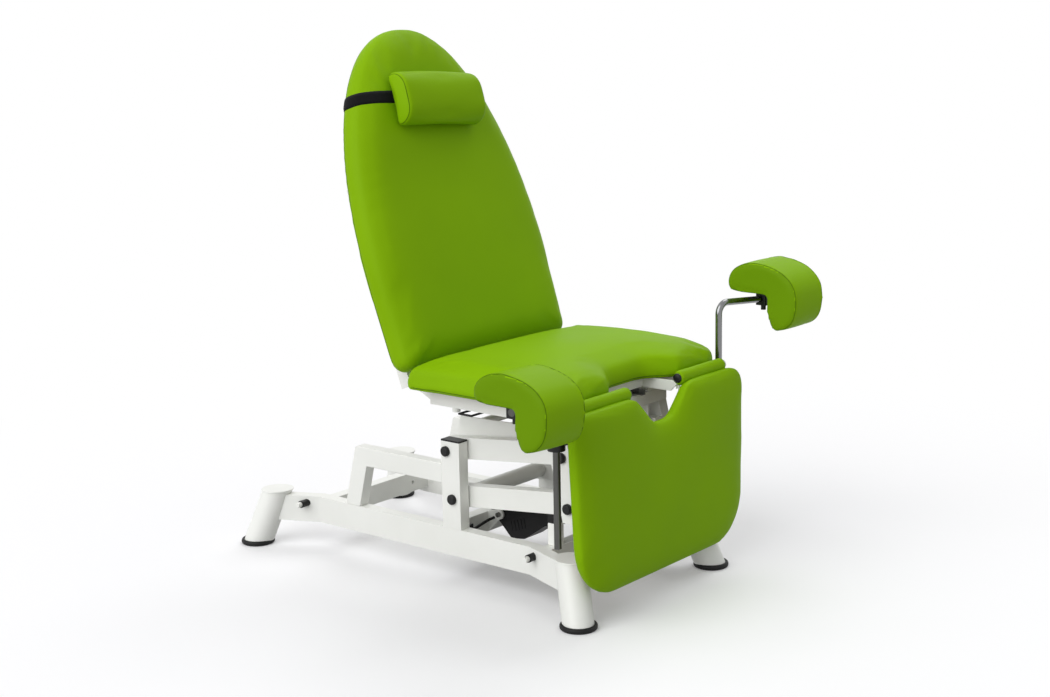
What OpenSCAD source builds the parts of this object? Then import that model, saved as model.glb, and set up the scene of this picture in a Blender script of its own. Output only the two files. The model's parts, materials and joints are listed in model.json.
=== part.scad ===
// Electric gynaecological chair: a four-foot steel base, a parallelogram lift driven by a
// linear actuator, an upholstered seat, back and leg panel, and two adjustable knee supports.
// Millimetres. +Z is up, the sitter faces -Y, X = 0 is the plane of symmetry, z = 0 is the floor.
// "right" is the sitter's right, at -X. Pairs are drawn at +X and mirrored.

/* [Base frame] */
// Height of the tube of the side rails
rail_h = 65; // [60:1:70]
// Thickness of the rails, posts, arms and uprights
tube_t = 30; // [28:1:32]
// Height of the underside of the rails above the floor
rail_z = 64; // [62:1:68]
// Distance of the middle of a rail from the plane of symmetry
rail_x = 176; // [174:1:180]
// Where the rails turn out towards the front feet
rail_front_y = -250; // [-256:1:-244]
// Where the rails turn out towards the rear feet
rail_rear_y = 424; // [418:1:440]
// Height of the cross tubes of the base
cross_h = 50; // [44:1:56]
// Middle of the rear cross tube
cross_rear_y = 396; // [390:1:400]
// Middle of the cross tube that carries the actuator
cross_mid_y = 18; // [16:1:24]
// Middle of the cross tube that carries the stop posts
cross_front_y = -285; // [-288:1:-280]
// Diameter of the drain hole in the rear cross tube
drain_d = 9; // [6:1:12]

/* [Feet] */
// Outer diameter of the foot tubes
foot_d = 70; // [64:1:74]
// Distance of a foot from the plane of symmetry, on the floor
foot_x = 256; // [252:1:264]
// Front feet on the floor
foot_front_y = -434; // [-436:1:-430]
// Rear feet on the floor
foot_rear_y = 577; // [570:1:590]
// How far a foot leans inward across the chair
foot_lean_x = 33; // [28:1:38]
// How far a foot leans inward along the chair
foot_lean_y = 45; // [40:1:50]
// Height of the top of the feet
foot_top_z = 140; // [137:1:146]
// Thickness of the lid on a foot
foot_cap_t = 4; // [2:0.5:5]
// Diameter of the rubber boot
boot_d = 88; // [84:1:94]
// Height of the rubber boot
boot_h = 14; // [12:1:16]
// Thickness of the rubber under the foot tube
boot_floor = 5; // [4:0.5:7]

/* [Posts and braces] */
// Width of the posts and uprights
post_w = 55; // [50:1:58]
// Middle of the posts along the chair
post_y = -19; // [-21:1:-17]
// Height of the top of the posts
post_top_z = 334; // [330:1:342]
// Wall of the post tubes
post_wall = 2.5; // [1.5:0.5:3]
// Thickness of the plastic cap on a post
post_cap_t = 4; // [3:0.5:6]
// How far the caps reach into their tubes
plug_l = 12; // [8:1:16]
// Width of the bent tube of the rear brace
brace_w = 46; // [40:1:50]
// Height of the top of the rear brace
brace_top_z = 279; // [270:1:290]
// Rear end of the top of the brace
brace_top_y = 287; // [275:1:295]
// Rear end of the foot of the brace
brace_foot_y = 326; // [315:1:340]
// Outer radius of the bend of the brace
brace_r = 8; // [4:1:12]
// Side of the square stop posts
stop_w = 26; // [22:1:28]
// Height of the top of the steel stop posts
stop_top_z = 180; // [176:1:184]
// Diameter of the pins beside the rails
stub_d = 18; // [16:1:20]
// Length of the black sleeve on such a pin
stub_sleeve_l = 22; // [16:1:26]
// How far such a pin stands out of its sleeve
stub_end_l = 12; // [8:1:16]
// Height of the pins beside the rails
stub_z = 112; // [108:1:116]
// Front pins along the chair
stub_front_y = -266; // [-280:1:-260]
// Rear pins along the chair
stub_rear_y = 450; // [440:1:470]

/* [Lift] */
// Upper rear pivot along the chair
pivot_y = -7; // [-9:1:-5]
// Upper rear pivot above the floor
pivot_z = 311; // [308:1:313]
// How far the lower pivots lie in front of the upper ones
pivot_step = 16; // [14:1:18]
// How far the lower pivots lie below the upper ones
pivot_drop = 112; // [110:1:114]
// Length of the lift arms from pivot to pivot
arm_l = 338; // [336:1:340]
// Depth of the tube of the lift arms
arm_w = 50; // [46:1:51]
// Rise of the arms at the lowest position, in degrees
arm_rest = 6.2; // [6:0.1:6.6]
// How far the arm tubes reach past their pivots
arm_over = 27; // [25:1:28]
// Gap between the arms and the posts beside them
arm_gap = 4; // [3:0.5:5]
// Diameter of the pivot shafts
shaft_d = 16; // [14:1:18]
// Wall of the pivot bushes
bush_wall = 3; // [2:0.5:4]
// Diameter of the black pivot caps
pivot_cap_d = 24; // [22:1:28]
// Height of the pivot caps
pivot_cap_h = 9; // [6:1:11]
// Outer diameter of the torsion tubes between the arms
torsion_d = 38; // [34:1:40]
// Wall of the torsion tubes
torsion_wall = 4; // [3:0.5:6]
// Forward lean of the front uprights, in degrees
upright_lean = 13; // [12:0.5:14]
// How far an upright reaches below the lower pivot
upright_foot = 34; // [32:1:38]
// Width of the beam on the uprights
beam_w = 60; // [56:1:64]
// Height of the beam on the uprights
beam_h = 30; // [26:1:32]
// Thickness of the side plates of the lift frame
plate_t = 5; // [4:0.5:6]
// Gap between the side plates and the arms
plate_gap = 6; // [5:0.5:9]
// Rear end of the side plates
plate_rear_y = 19; // [12:1:24]
// Height of the top of the side plates
plate_top_z = 378; // [370:1:386]
// Height of the underside of the side plates
plate_low_z = 336; // [335:0.5:340]
// Diameter of the tie between the side plates
tie_d = 20; // [16:1:22]

/* [Actuator] */
// Rear pivot of the actuator along the chair
act_y = -32; // [-34:1:-30]
// Rear pivot of the actuator above the floor
act_z = 127; // [125:1:129]
// Fork hole along the lower arms from their rear pivot
fork_at = 300; // [296:1:304]
// Fork hole below the line of the lower arms
fork_down = 45; // [43:1:47]
// Width of the motor housing
act_w = 64; // [58:1:68]
// Diameter of the outer tube of the actuator
act_tube_d = 50; // [46:1:52]
// Length from the rear pivot to the end of the outer tube
act_tube_l = 246; // [240:1:250]
// Diameter of the thrust rod
act_rod_d = 26; // [22:1:28]
// How far the thrust rod reaches into the outer tube
act_rod_in = 90; // [80:1:100]
// Diameter of the actuator's pins
act_pin_d = 12; // [10:1:13]
// Radial play of the front pin in the fork
fork_play = 5; // [4.6:0.1:5.4]
// Thickness of the fork and bracket plates
fork_t = 6; // [5:0.5:8]
// Width of the rod's head
act_head_w = 24; // [20:1:28]
// Diameter of the motor lead
lead_d = 7; // [6:0.5:8]

/* [Seat] */
// Width of the seat and back
seat_w = 620; // [612:1:624]
// Depth of the seat
seat_d = 430; // [428:1:431]
// Rear edge of the seat
seat_rear_y = -5; // [-6:1:-5]
// Height of the underside of the seat
seat_z = 478; // [477:1:479]
// Thickness of the seat with its board
seat_t = 74; // [66:1:78]
// Height of the upright part of the seat's sides
seat_side_h = 26; // [22:1:30]
// Radius of the upper edge of the seat
seat_edge_r = 14; // [10:1:18]
// How far the middle of the seat rises above its edge
seat_crown = 31; // [22:1:34]
// Radius of the rear corners of the seat
seat_rear_r = 40; // [32:1:50]
// Radius of the front corners of the seat
seat_front_r = 76; // [72:1:84]
// Width of the mouth of the front cut-out
cut_mouth = 264; // [240:2:280]
// Width of the back of the front cut-out
cut_back = 124; // [110:2:140]
// Depth of the front cut-out
cut_d = 58; // [45:1:70]
// Inner radius of the front cut-out
cut_r = 60; // [45:1:70]
// Radius of the lobes beside the cut-out
lobe_r = 34; // [28:1:40]
// Thickness of the plywood boards
board_t = 10; // [8:1:12]
// How far the boards stay inside the upholstery
board_in = 12; // [8:1:16]
// Height of the side tubes of the seat frame
seat_tube_h = 40; // [38:1:42]
// Thickness of the tubes of the seat frame
seat_tube_t = 20; // [18:1:22]
// How far the side tubes of the seat frame stay inside the cushion's edge
seat_tube_in = 50; // [48:1:52]
// Rear end of the side tubes
seat_tube_rear_y = -27; // [-32:1:-24]
// Front end of the side tubes
seat_tube_front_y = -388; // [-390:1:-386]
// Height of the cross bars of the seat frame
seat_bar_h = 24; // [20:1:26]
// Distance of the basin rails from the plane of symmetry
basin_x = 72; // [60:1:78]
// Length of the basin rails
basin_l = 240; // [200:5:250]
// Diameter of the wire of the release lever
wire_d = 5; // [4:0.5:6]
// Width of the release lever along the chair
wire_w = 36; // [30:1:44]
// Reach of the release lever from its pivot
wire_l = 62; // [56:1:68]
// Release lever along the chair
wire_y = -132; // [-140:1:-124]

/* [Back] */
// Angle of the back from upright, in degrees
back_lean = 18.9; // [18:0.1:20]
// Hinge of the back along the chair
back_y = 35; // [35:0.5:38]
// Hinge of the back above the floor
back_z = 480; // [480:0.5:483]
// Length of the back cushion
back_l = 790; // [760:5:840]
// Start of the back cushion above its hinge
back_foot = 14; // [14:0.5:18]
// Front of the back cushion from its hinge
back_front = 60; // [57:0.5:60]
// Thickness of the back with its board
back_t = 82; // [78:1:84]
// Height of the upright part of the back's edge
back_side_h = 49; // [40:1:52]
// Radius of the front edge of the back
back_edge_r = 17; // [12:1:22]
// How far the middle of the back rises above its edge
back_crown = 7; // [4:1:10]
// Height of the straight part of the back's sides
back_straight = 227; // [200:1:250]
// How much narrower each side is at the foot of the back
back_taper = 10; // [0:1:16]
// Roundness of the top of the back, 2 is an ellipse
back_round = 2.1; // [1.9:0.1:2.4]
// Radius of the lower corners of the back
back_corner_r = 36; // [30:1:50]
// Depth of the tubes of the back frame
back_tube_d = 30; // [25:1:34]
// Width of the tubes of the back frame
back_tube_w = 25; // [20:1:26]
// Length of the side tubes of the back frame
back_tube_l = 460; // [440:5:500]
// Length of the head pillow
pillow_l = 250; // [230:1:270]
// Height of the head pillow
pillow_h = 122; // [105:1:130]
// Depth of the head pillow
pillow_d = 68; // [60:1:76]
// Middle of the head pillow above the hinge
pillow_at = 636; // [620:1:644]
// Width of the pillow's strap
strap_w = 30; // [25:1:35]
// Thickness of the pillow's strap
strap_t = 2; // [1.5:0.5:3]

/* [Gas spring] */
// Length of the lever on the back frame
lever_r = 55; // [54:0.5:56]
// Swing of the back from its rest to flat, in degrees
back_swing = 71; // [70:0.5:71.5]
// Diameter of the gas spring
spring_d = 22; // [19:1:23]
// Diameter of the gas spring's rod
spring_rod_d = 10; // [8:1:11]
// Front pivot of the gas spring along the chair
spring_y = -262; // [-266:1:-260]
// Rear end of the cylinder
spring_end_y = -70; // [-74:1:-68]
// Height of the gas spring
spring_z = 430; // [429:0.5:431]
// Diameter of the gas spring's pins
spring_pin_d = 8; // [7:0.5:9]

/* [Leg panel] */
// Hinge of the leg panel along the chair
leg_y = -450; // [-451:0.5:-450]
// Hinge of the leg panel above the floor
leg_z = 485; // [485:0.5:486]
// Radius of the upholstered hinge rolls
roll_r = 14.4; // [13.4:0.2:14.4]
// Inner end of the hinge rolls
roll_in_x = 106; // [104:1:112]
// Outer end of the hinge rolls
roll_out_x = 268; // [262:1:269]
// Diameter of the hinge rods
hinge_rod_d = 10; // [8:1:11]
// Width of the leg panel
leg_w = 634; // [626:1:640]
// Height of the top of the leg panel
leg_top_z = 470; // [468:0.5:470]
// Height of the bottom of the leg panel
leg_low_z = 76; // [74:1:84]
// Thickness of the leg cushion
leg_t = 25; // [22:1:26]
// Thickness of the board of the leg panel
leg_board_t = 7; // [6:0.5:8]
// Height of the upright part of the leg panel's edge
leg_side_h = 11; // [8:1:13]
// Radius of the front edge of the leg panel
leg_edge_r = 13; // [10:1:16]
// How far the middle of the leg panel rises above its edge
leg_crown = 5; // [3:1:8]
// Radius of the lower corners of the leg panel
leg_low_r = 104; // [90:1:115]
// Radius of the upper corners of the leg panel
leg_up_r = 42; // [36:1:50]
// Width of the mouth of the leg panel's cut-out
leg_mouth = 204; // [196:2:208]
// Width of the bottom of the leg panel's cut-out
leg_cut_w = 62; // [56:2:70]
// Depth of the cut-out of the leg panel
leg_cut_d = 62; // [54:1:66]
// Inner radius of the cut-out of the leg panel
leg_cut_r = 50; // [40:1:54]
// Radius beside the cut-out of the leg panel
leg_lobe_r = 34; // [28:1:38]
// Length of the hinge straps behind the leg panel
leg_strap_l = 300; // [260:5:330]

/* [Knee supports] */
// Diameter of the bent rods
rod_d = 16; // [15:0.5:17]
// How far the rods stay inside the edge of the seat
rod_in = 4; // [1:0.5:4]
// Rods along the chair
rod_y = -421; // [-422:0.5:-420]
// Length of the arm from rod to stud
rod_arm = 160; // [156:1:168]
// Forward turn of the arms, in degrees
rod_turn = 8.4; // [7:0.2:10]
// Droop of the arms, in degrees
rod_droop = 4; // [3:0.5:5]
// Radius of the bend of the rods at their middle
rod_bend_r = 26; // [24:1:30]
// Height of the bend of the right rod
rod_right_z = 532; // [526:1:540]
// Height of the bend of the left rod
rod_left_z = 621; // [610:1:630]
// Length of the rods below the bend
rod_l = 344; // [336:1:350]
// Bottom of the rod clamps
clamp_z = 402; // [400:1:406]
// Height of the rod clamps
clamp_h = 46; // [42:1:48]
// Outer diameter of the rod clamps
clamp_d = 38; // [36:1:39]
// Diameter of the clamp knobs
knob_d = 30; // [26:1:32]
// Length of the clamp knobs
knob_l = 18; // [14:1:20]
// Width of the clamps on the arms
stud_clamp_w = 26; // [24:1:28]
// Height of the clamps on the arms
stud_clamp_h = 28; // [26:1:30]
// Diameter of the studs
stud_d = 12; // [10:1:13]
// Height of a pad's underside above the arm
pad_over = 27; // [26:1:30]
// Reach of a pad behind its stud
pad_rear = 60; // [56:1:64]
// Reach of a pad in front of its stud
pad_front = 122; // [116:1:126]
// Height of a pad above its underside
pad_rise = 67; // [60:1:72]
// Depth of the pad's front leg below its underside
pad_drop = 78; // [70:1:82]
// Inner side of the pad's front leg from the stud
pad_leg = 56; // [52:1:60]
// Width of a pad
pad_w = 124; // [118:1:130]

/* [Hidden] */

// Play and gaps that the pieces share
run_fit = 0.05;
weld = 0.1;
air = 0.3;
over = 1;
side_gap = 2;
stub_seat = 6;

// Heights and edges of the base
rail_top = rail_z + rail_h;
rail_in = rail_x - tube_t / 2;
rail_out = rail_x + tube_t / 2;
foot_front = [foot_x, foot_front_y];
foot_rear = [foot_x, foot_rear_y];
lean_front = [-foot_lean_x, foot_lean_y];
lean_rear = [-foot_lean_x, -foot_lean_y];
rail_mid_share = (rail_z + rail_h / 2) / foot_top_z;
rail_path = [
    foot_rear + rail_mid_share * lean_rear,
    [rail_x, rail_rear_y],
    [rail_x, rail_front_y],
    foot_front + rail_mid_share * lean_front
];

// Pivots of the lift, as points along the chair and above the floor
up_rear = [pivot_y, pivot_z];
low_rear = up_rear - [pivot_step, pivot_drop];
arm_dir = [-cos(arm_rest), sin(arm_rest)];
arm_up = [sin(arm_rest), cos(arm_rest)];
up_front = up_rear + arm_l * arm_dir;
low_front = low_rear + arm_l * arm_dir;
arm_x1 = rail_in - arm_gap;
arm_x0 = arm_x1 - tube_t;
bush_d = shaft_d + 2 * bush_wall;
plate_x = arm_x0 - plate_gap;
upright_foot_z = low_front.y - upright_foot;

// The seat frame rests on the beam, and the beam on the uprights
seat_tube_z = seat_z - seat_tube_h;
beam_z = seat_tube_z - beam_h;
upright_mid = (up_front + low_front) / 2;
beam_y = upright_mid.x + tan(upright_lean) * (beam_z - upright_mid.y);
seat_front_y = seat_rear_y - seat_d;
seat_tube_x = seat_w / 2 - seat_tube_in;
rod_x = seat_w / 2 - rod_in;

// The actuator lies from its bracket to the fork under the lower arms
act_rear = [act_y, act_z];
act_front = low_rear + fork_at * arm_dir - fork_down * arm_up;
act_l = norm(act_front - act_rear);
act_rise = atan2(act_front.y - act_rear.y, act_rear.x - act_front.x);
act_eye_r = act_pin_d / 2 + fork_t;
fork_hole_d = act_pin_d + 2 * fork_play;
fork_eye_r = fork_hole_d / 2 + fork_t;
bracket_x = act_w / 2 + side_gap;

// Back, gas spring and leg panel
back_rear = back_t - back_front;
back_tube_x1 = seat_tube_x - seat_tube_t - side_gap;
back_tube_x0 = back_tube_x1 - back_tube_w;
lever_angle = back_swing / 2;
lever_pin = [back_y + lever_r * sin(lever_angle), back_z - lever_r * cos(lever_angle)];
lever_eye_r = spring_pin_d + fork_t;
lever_hole_d = spring_pin_d + lever_r * (1 - cos(lever_angle)) + 2 * side_gap;
leg_rear_y = leg_y;

// The knee supports
clamp_top = clamp_z + clamp_h;
rod_bush_d = rod_d + 2 * bush_wall;
stud_y = rod_y - rod_arm * sin(rod_turn);
stud_out = rod_x + rod_arm * cos(rod_turn);

// A pad's side view, as [backward, up from its underside]: a rest with a leg in front.
// The origin is under the middle of the whole chair, whose front end the pads are.
rear_end = foot_rear_y + boot_d / 2;
pad_outline = rounded([
    [pad_rear, 0],
    [pad_rear * 0.94, pad_rise * 0.86],
    [-pad_rear * 0.7, pad_rise],
    [-pad_front, pad_rise * 0.3],
    [-pad_front + pad_drop * 0.3, -pad_drop],
    [-pad_leg - side_gap * 4, -pad_drop],
    [-pad_leg, 0]
], [side_gap * 5, pad_rise * 0.5, pad_rise, pad_rise * 0.7, side_gap * 6, side_gap * 4, side_gap * 7], 6);
front_end = stud_y + min([for (p = pad_outline) p.x]);
mid_y = (rear_end + front_end) / 2;

// Colours
white_paint = "#e6e7e3";
black_plastic = "#1b1b1c";
vinyl = "#7aa512";
steel = "#9a9a98";
plywood = "#b08a5a";

function unit(v) = v / norm(v);
function reversed(list) = [for (i = [len(list) - 1 : -1 : 0]) list[i]];
function last(list) = list[len(list) - 1];

// The arc that rounds the corner b between a and c
function arc(a, b, c, r, n) =
    let (
        u = unit(a - b),
        v = unit(c - b),
        half = acos(u * v) / 2,
        middle = b + unit(u + v) * r / sin(half),
        from = b + u * r / tan(half) - middle,
        to = b + v * r / tan(half) - middle,
        start = atan2(from.y, from.x),
        sweep = (atan2(to.y, to.x) - start + 540) % 360 - 180
    )
    [for (i = [0 : n]) middle + r * [cos(start + sweep * i / n), sin(start + sweep * i / n)]];

// An outline with its corners rounded, each by its own radius
function rounded(points, radii, n = 5) =
    let (m = len(points))
    [for (i = [0 : m - 1])
        each radii[i] > 0
            ? arc(points[(i + m - 1) % m], points[i], points[(i + 1) % m], radii[i], n)
            : [points[i]]];

// One side of a bent tube that follows a path
function tube_side(path, off) =
    let (m = len(path))
    [for (i = [0 : m - 1])
        let (
            before = unit(i > 0 ? path[i] - path[i - 1] : path[1] - path[0]),
            after = unit(i < m - 1 ? path[i + 1] - path[i] : path[i] - path[i - 1]),
            n0 = [-before.y, before.x],
            n1 = [-after.y, after.x],
            mitre = unit(n0 + n1)
        )
        path[i] + mitre * off / (mitre * n0)];
function bent_tube(path, w) = concat(tube_side(path, w / 2), reversed(tube_side(path, -w / 2)));

module at_origin() translate([0, -mid_y, 0]) children();
module both() {
    children();
    mirror([1, 0, 0]) children();
}
module one_side(right) mirror([right ? 1 : 0, 0, 0]) children();

// A drawing of the chair's side, as [along, up], made solid across the chair
module across(x0, x1) {
    translate([x0, 0, 0])
        rotate([90, 0, 90])
        linear_extrude(x1 - x0) children();
}

// A round bar across the chair
module cross_bar(p, x0, x1, d) {
    translate([x0, p.x, p.y])
        rotate([0, 90, 0])
        cylinder(h = x1 - x0, d = d, $fn = 48);
}

// A round bar from one point to another. Its seam is turned off the planes that cut it.
seam_turn = 30;
module bar(p, q, d) {
    v = q - p;
    translate(p)
        rotate([0, acos(v.z / norm(v)), atan2(v.y, v.x)])
        rotate([0, 0, seam_turn])
        cylinder(h = norm(v), d = d, $fn = 48);
}

// Points of one ring of a cushion: the outline drawn in and scaled about its middle
function ring(outline, middle, inset, share, z) =
    let (m = len(outline))
    [for (i = [0 : m - 1])
        let (
            a = unit(outline[i] - outline[(i + m - 1) % m]),
            b = unit(outline[(i + 1) % m] - outline[i]),
            n = unit([-a.y - b.y, a.x + b.x]),
            p = outline[i] + n * inset / max(n * [-a.y, a.x], 0.5)
        )
        [middle.x + (p.x - middle.x) * share, middle.y + (p.y - middle.y) * share, z]];

// An upholstered form: rings of [inset, share, height] from its underside to its crown
module upholstery(outline, middle, levels, top) {
    m = len(outline);
    k = len(levels);
    points = [
        for (level = levels) each ring(outline, middle, level[0], level[1], level[2]),
        [middle.x, middle.y, levels[0][2]],
        [middle.x, middle.y, top]
    ];
    faces = [
        for (j = [0 : k - 2], i = [0 : m - 1])
            each [
                [j * m + i, (j + 1) * m + i, (j + 1) * m + (i + 1) % m],
                [j * m + i, (j + 1) * m + (i + 1) % m, j * m + (i + 1) % m]
            ],
        for (i = [0 : m - 1]) [k * m, i, (i + 1) % m],
        for (i = [0 : m - 1]) [k * m + 1, (k - 1) * m + (i + 1) % m, (k - 1) * m + i]
    ];
    polyhedron(points, faces, convexity = 4);
}

// A foot leans inward, so its axis and everything on it is worked out from its height
function foot_at(foot, lean, z) =
    [foot.x + lean.x * z / foot_top_z, foot.y + lean.y * z / foot_top_z, z];
module foot_solid(foot, lean, d) {
    bar(foot_at(foot, lean, -foot_d), foot_at(foot, lean, foot_top_z + foot_d), d);
}
module slab(z0, z1) {
    reach = foot_rear_y - foot_front_y + 2 * foot_d;
    translate([0, foot_front_y - foot_d, z0]) cube([2 * foot_x, reach, z1 - z0]);
}
module each_foot() {
    both() {
        foot_part(foot_front, lean_front) children();
        foot_part(foot_rear, lean_rear) children();
    }
}
module foot_part(foot, lean) {
    $foot = foot;
    $lean = lean;
    children();
}

module side_rails() color(white_paint) at_origin() both() difference() {
    translate([0, 0, rail_z]) linear_extrude(rail_h) polygon(bent_tube(rail_path, tube_t));
    foot_solid(foot_front, lean_front, foot_d + 2 * weld);
    foot_solid(foot_rear, lean_rear, foot_d + 2 * weld);
    for (y = [stub_front_y, stub_rear_y]) rail_pin(y, -stub_seat, stub_d, stub_d + 2 * weld);
}

// A pin beside the rail, from one distance to another out of the rail's face
module rail_pin(y, from, to, d) {
    outer = y > rail_rear_y ? rail_path[0] : rail_path[3];
    inner = y > rail_rear_y ? rail_path[1] : rail_path[2];
    u = unit(outer - inner);
    x = inner.x + u.x * (y - inner.y) / u.y;
    translate([x + tube_t / 2 + from, y, stub_z])
        rotate([0, 90, 0])
        cylinder(h = to - from, d = d, $fn = 40);
}

module base_cross_tubes() color(white_paint) at_origin() {
    difference() {
        cross_tube(cross_rear_y, rail_in - weld);
        translate([rail_in * 0.65, cross_rear_y, rail_top - cross_h / 2])
            rotate([90, 0, 0]) cylinder(h = tube_t, d = drain_d, $fn = 32);
    }
    cross_tube(cross_mid_y, rail_in - weld);
    both() difference() {
        bracket_plate();
        cross_bar(act_rear, bracket_x - over, bracket_x + fork_t + over, act_pin_d + 2 * weld);
    }
    difference() {
        cross_tube(cross_front_y, rail_out);
        both() translate([0, 0, rail_z - over])
            linear_extrude(rail_h + 2 * over)
            polygon(bent_tube(rail_path, tube_t + 2 * weld));
        both() translate([rail_x + tube_t / 2, cross_front_y - tube_t, rail_z])
            cube([tube_t, 2 * tube_t, rail_h]);
    }
}
module cross_tube(y, half) {
    translate([-half, y - tube_t / 2, rail_top - cross_h]) cube([2 * half, tube_t, cross_h]);
}

// The actuator's bracket: two plates that stand forward from the middle cross tube
module bracket_plate() {
    face = cross_mid_y - tube_t / 2 - weld;
    across(bracket_x, bracket_x + fork_t) {
        translate(act_rear) circle(act_eye_r + weld, $fn = 48);
        polygon([
            act_rear + [0, act_eye_r],
            [face, rail_top],
            [face, rail_top - cross_h],
            act_rear - [0, act_eye_r]
        ]);
    }
}

module foot_tubes() color(white_paint) at_origin() each_foot() {
    intersection() {
        foot_solid($foot, $lean, foot_d);
        slab(boot_floor, foot_top_z - foot_cap_t);
    }
    intersection() {
        foot_solid($foot, $lean, foot_d + foot_cap_t);
        slab(foot_top_z - foot_cap_t, foot_top_z);
    }
}

module rubber_boots() color(black_plastic) at_origin() each_foot() difference() {
    translate([$foot.x, $foot.y, 0]) cylinder(h = boot_h, d = boot_d, $fn = 64);
    intersection() {
        foot_solid($foot, $lean, foot_d + 2 * weld);
        slab(boot_floor - weld, boot_h + over);
    }
}

module posts() color(white_paint) at_origin() both() difference() {
    translate([rail_in, post_y - post_w / 2, rail_top]) cube([tube_t, post_w, post_top_z - rail_top]);
    translate([rail_in + post_wall, post_y - post_w / 2 + post_wall, post_top_z - plug_l - over])
        cube([tube_t - 2 * post_wall, post_w - 2 * post_wall, plug_l + 2 * over]);
    for (p = [up_rear, low_rear]) cross_bar(p, rail_in - over, rail_out + over, shaft_d + 2 * weld);
}

module base_caps() color(black_plastic) at_origin() both() {
    translate([rail_in, post_y - post_w / 2, post_top_z]) cube([tube_t, post_w, post_cap_t]);
    translate([rail_in + post_wall + weld, post_y - post_w / 2 + post_wall + weld, post_top_z - plug_l])
        cube([tube_t - 2 * post_wall - 2 * weld, post_w - 2 * post_wall - 2 * weld, plug_l]);
    pivot_cap(up_rear);
    pivot_cap(low_rear);
}

// A round cap on the outer end of a pivot shaft
module pivot_cap(p) {
    rim = pivot_cap_h / 3;
    translate([rail_out, p.x, p.y]) rotate([0, 90, 0]) rotate_extrude($fn = 48) polygon([
        [0, 0],
        [pivot_cap_d / 2, 0],
        [pivot_cap_d / 2, pivot_cap_h - rim],
        [pivot_cap_d / 2 - rim, pivot_cap_h],
        [0, pivot_cap_h]
    ]);
}

// The brace behind a post: one bent tube, along the chair and down to the rail
module rear_braces() color(white_paint) at_origin() both() {
    slope = (brace_foot_y - brace_top_y) / (brace_top_z - rail_top);
    lean = norm([1, slope]);
    face = post_y + post_w / 2;
    across(rail_in, rail_out) polygon(rounded([
        [face, brace_top_z],
        [face, brace_top_z - brace_w],
        [brace_top_y - brace_w * (lean - slope), brace_top_z - brace_w],
        [brace_foot_y - brace_w * lean, rail_top],
        [brace_foot_y, rail_top],
        [brace_top_y, brace_top_z]
    ], [0, 0, brace_r / 2, 0, 0, brace_r]));
}

stop_x = (arm_x0 + arm_x1) / 2;
module stop_posts() color(white_paint) at_origin() both() {
    translate([stop_x - stop_w / 2, cross_front_y - stop_w / 2, rail_top])
        cube([stop_w, stop_w, stop_top_z - rail_top]);
}

// The lower arms come down on the buffers
module stop_buffers() color(black_plastic) at_origin() both() intersection() {
    translate([stop_x - stop_w / 2, cross_front_y - stop_w / 2, stop_top_z])
        cube([stop_w, stop_w, arm_w]);
    across(stop_x - stop_w, stop_x + stop_w) arm_side(low_rear, -2 * arm_w, -arm_w / 2 - air);
}

// The band of the side view between two distances from an arm's middle line
module arm_side(p, from, to) {
    start = p - arm_over * arm_dir;
    end = p + (arm_l + arm_over) * arm_dir;
    polygon([start + from * arm_up, end + from * arm_up, end + to * arm_up, start + to * arm_up]);
}

stub_core_d = stub_d - 2 * post_wall;
module rail_pins() color(white_paint) at_origin() both()
    for (y = [stub_front_y, stub_rear_y])
        rail_pin(y, -stub_seat, stub_sleeve_l + stub_end_l, stub_core_d);

module rail_pin_sleeves() color(black_plastic) at_origin() both()
    for (y = [stub_front_y, stub_rear_y]) difference() {
        rail_pin(y, -stub_seat, stub_sleeve_l, stub_d);
        rail_pin(y, -stub_seat - over, stub_sleeve_l + over, stub_core_d + 2 * weld);
    }

module base_pivot_shafts() color(steel) at_origin() {
    for (p = [up_rear, low_rear]) cross_bar(p, -rail_out, rail_out, shaft_d);
    cross_bar(act_rear, -bracket_x - 2 * fork_t, bracket_x + 2 * fork_t, act_pin_d);
}

// The control box is screwed to the inside of the right rail, behind the post
box_w = cross_mid_y - tube_t / 2 - act_y;
box_t = tube_t;
box_y = act_y - weld;
box_h = rail_h - 2 * over;
module control_box() color(black_plastic) at_origin() mirror([1, 0, 0]) {
    translate([rail_in - weld - box_t, box_y, rail_z + over]) cube([box_t, box_w, box_h]);
    translate([rail_in - box_t / 2, box_y + box_w / 2, rail_z + over - lead_d])
        cylinder(h = lead_d, d = 2 * lead_d, $fn = 40);
    translate([rail_in - weld - box_t - lead_d, last(lead_route).y, last(lead_route).z])
        rotate([0, 90, 0]) difference() {
            cylinder(h = lead_d, d = 2 * lead_d, $fn = 40);
            translate([0, 0, -over]) cylinder(h = lead_d, d = lead_d + 2 * weld, $fn = 40);
        }
}

// The motor lead lies along the middle cross tube, from the bracket to the control box
lead_route = [
    [40.2, -17, 117],
    [50, -17, 117],
    [60, -15, 115],
    [72, -12, 111],
    [86, -10, 107],
    [100, -10, 105],
    [112, -12, 104],
    [129.8, -12, 104]
];
module motor_lead() color(black_plastic) at_origin() mirror([1, 0, 0]) {
    sides = 10;
    m = len(lead_route);
    points = [
        for (i = [0 : m - 1])
            let (
                t = unit(lead_route[min(i + 1, m - 1)] - lead_route[max(i - 1, 0)]),
                n = unit(cross(t, [0, 0, 1])),
                b = cross(t, n)
            )
            for (k = [0 : sides - 1])
                lead_route[i] + lead_d / 2 * (n * cos(360 * k / sides) + b * sin(360 * k / sides))
    ];
    faces = [
        [for (k = [0 : sides - 1]) k],
        for (i = [0 : m - 2], k = [0 : sides - 1])
            [
                i * sides + k,
                (i + 1) * sides + k,
                (i + 1) * sides + (k + 1) % sides,
                i * sides + (k + 1) % sides
            ],
        [for (k = [sides - 1 : -1 : 0]) (m - 1) * sides + k]
    ];
    polyhedron(points, faces, convexity = 4);
}

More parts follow.
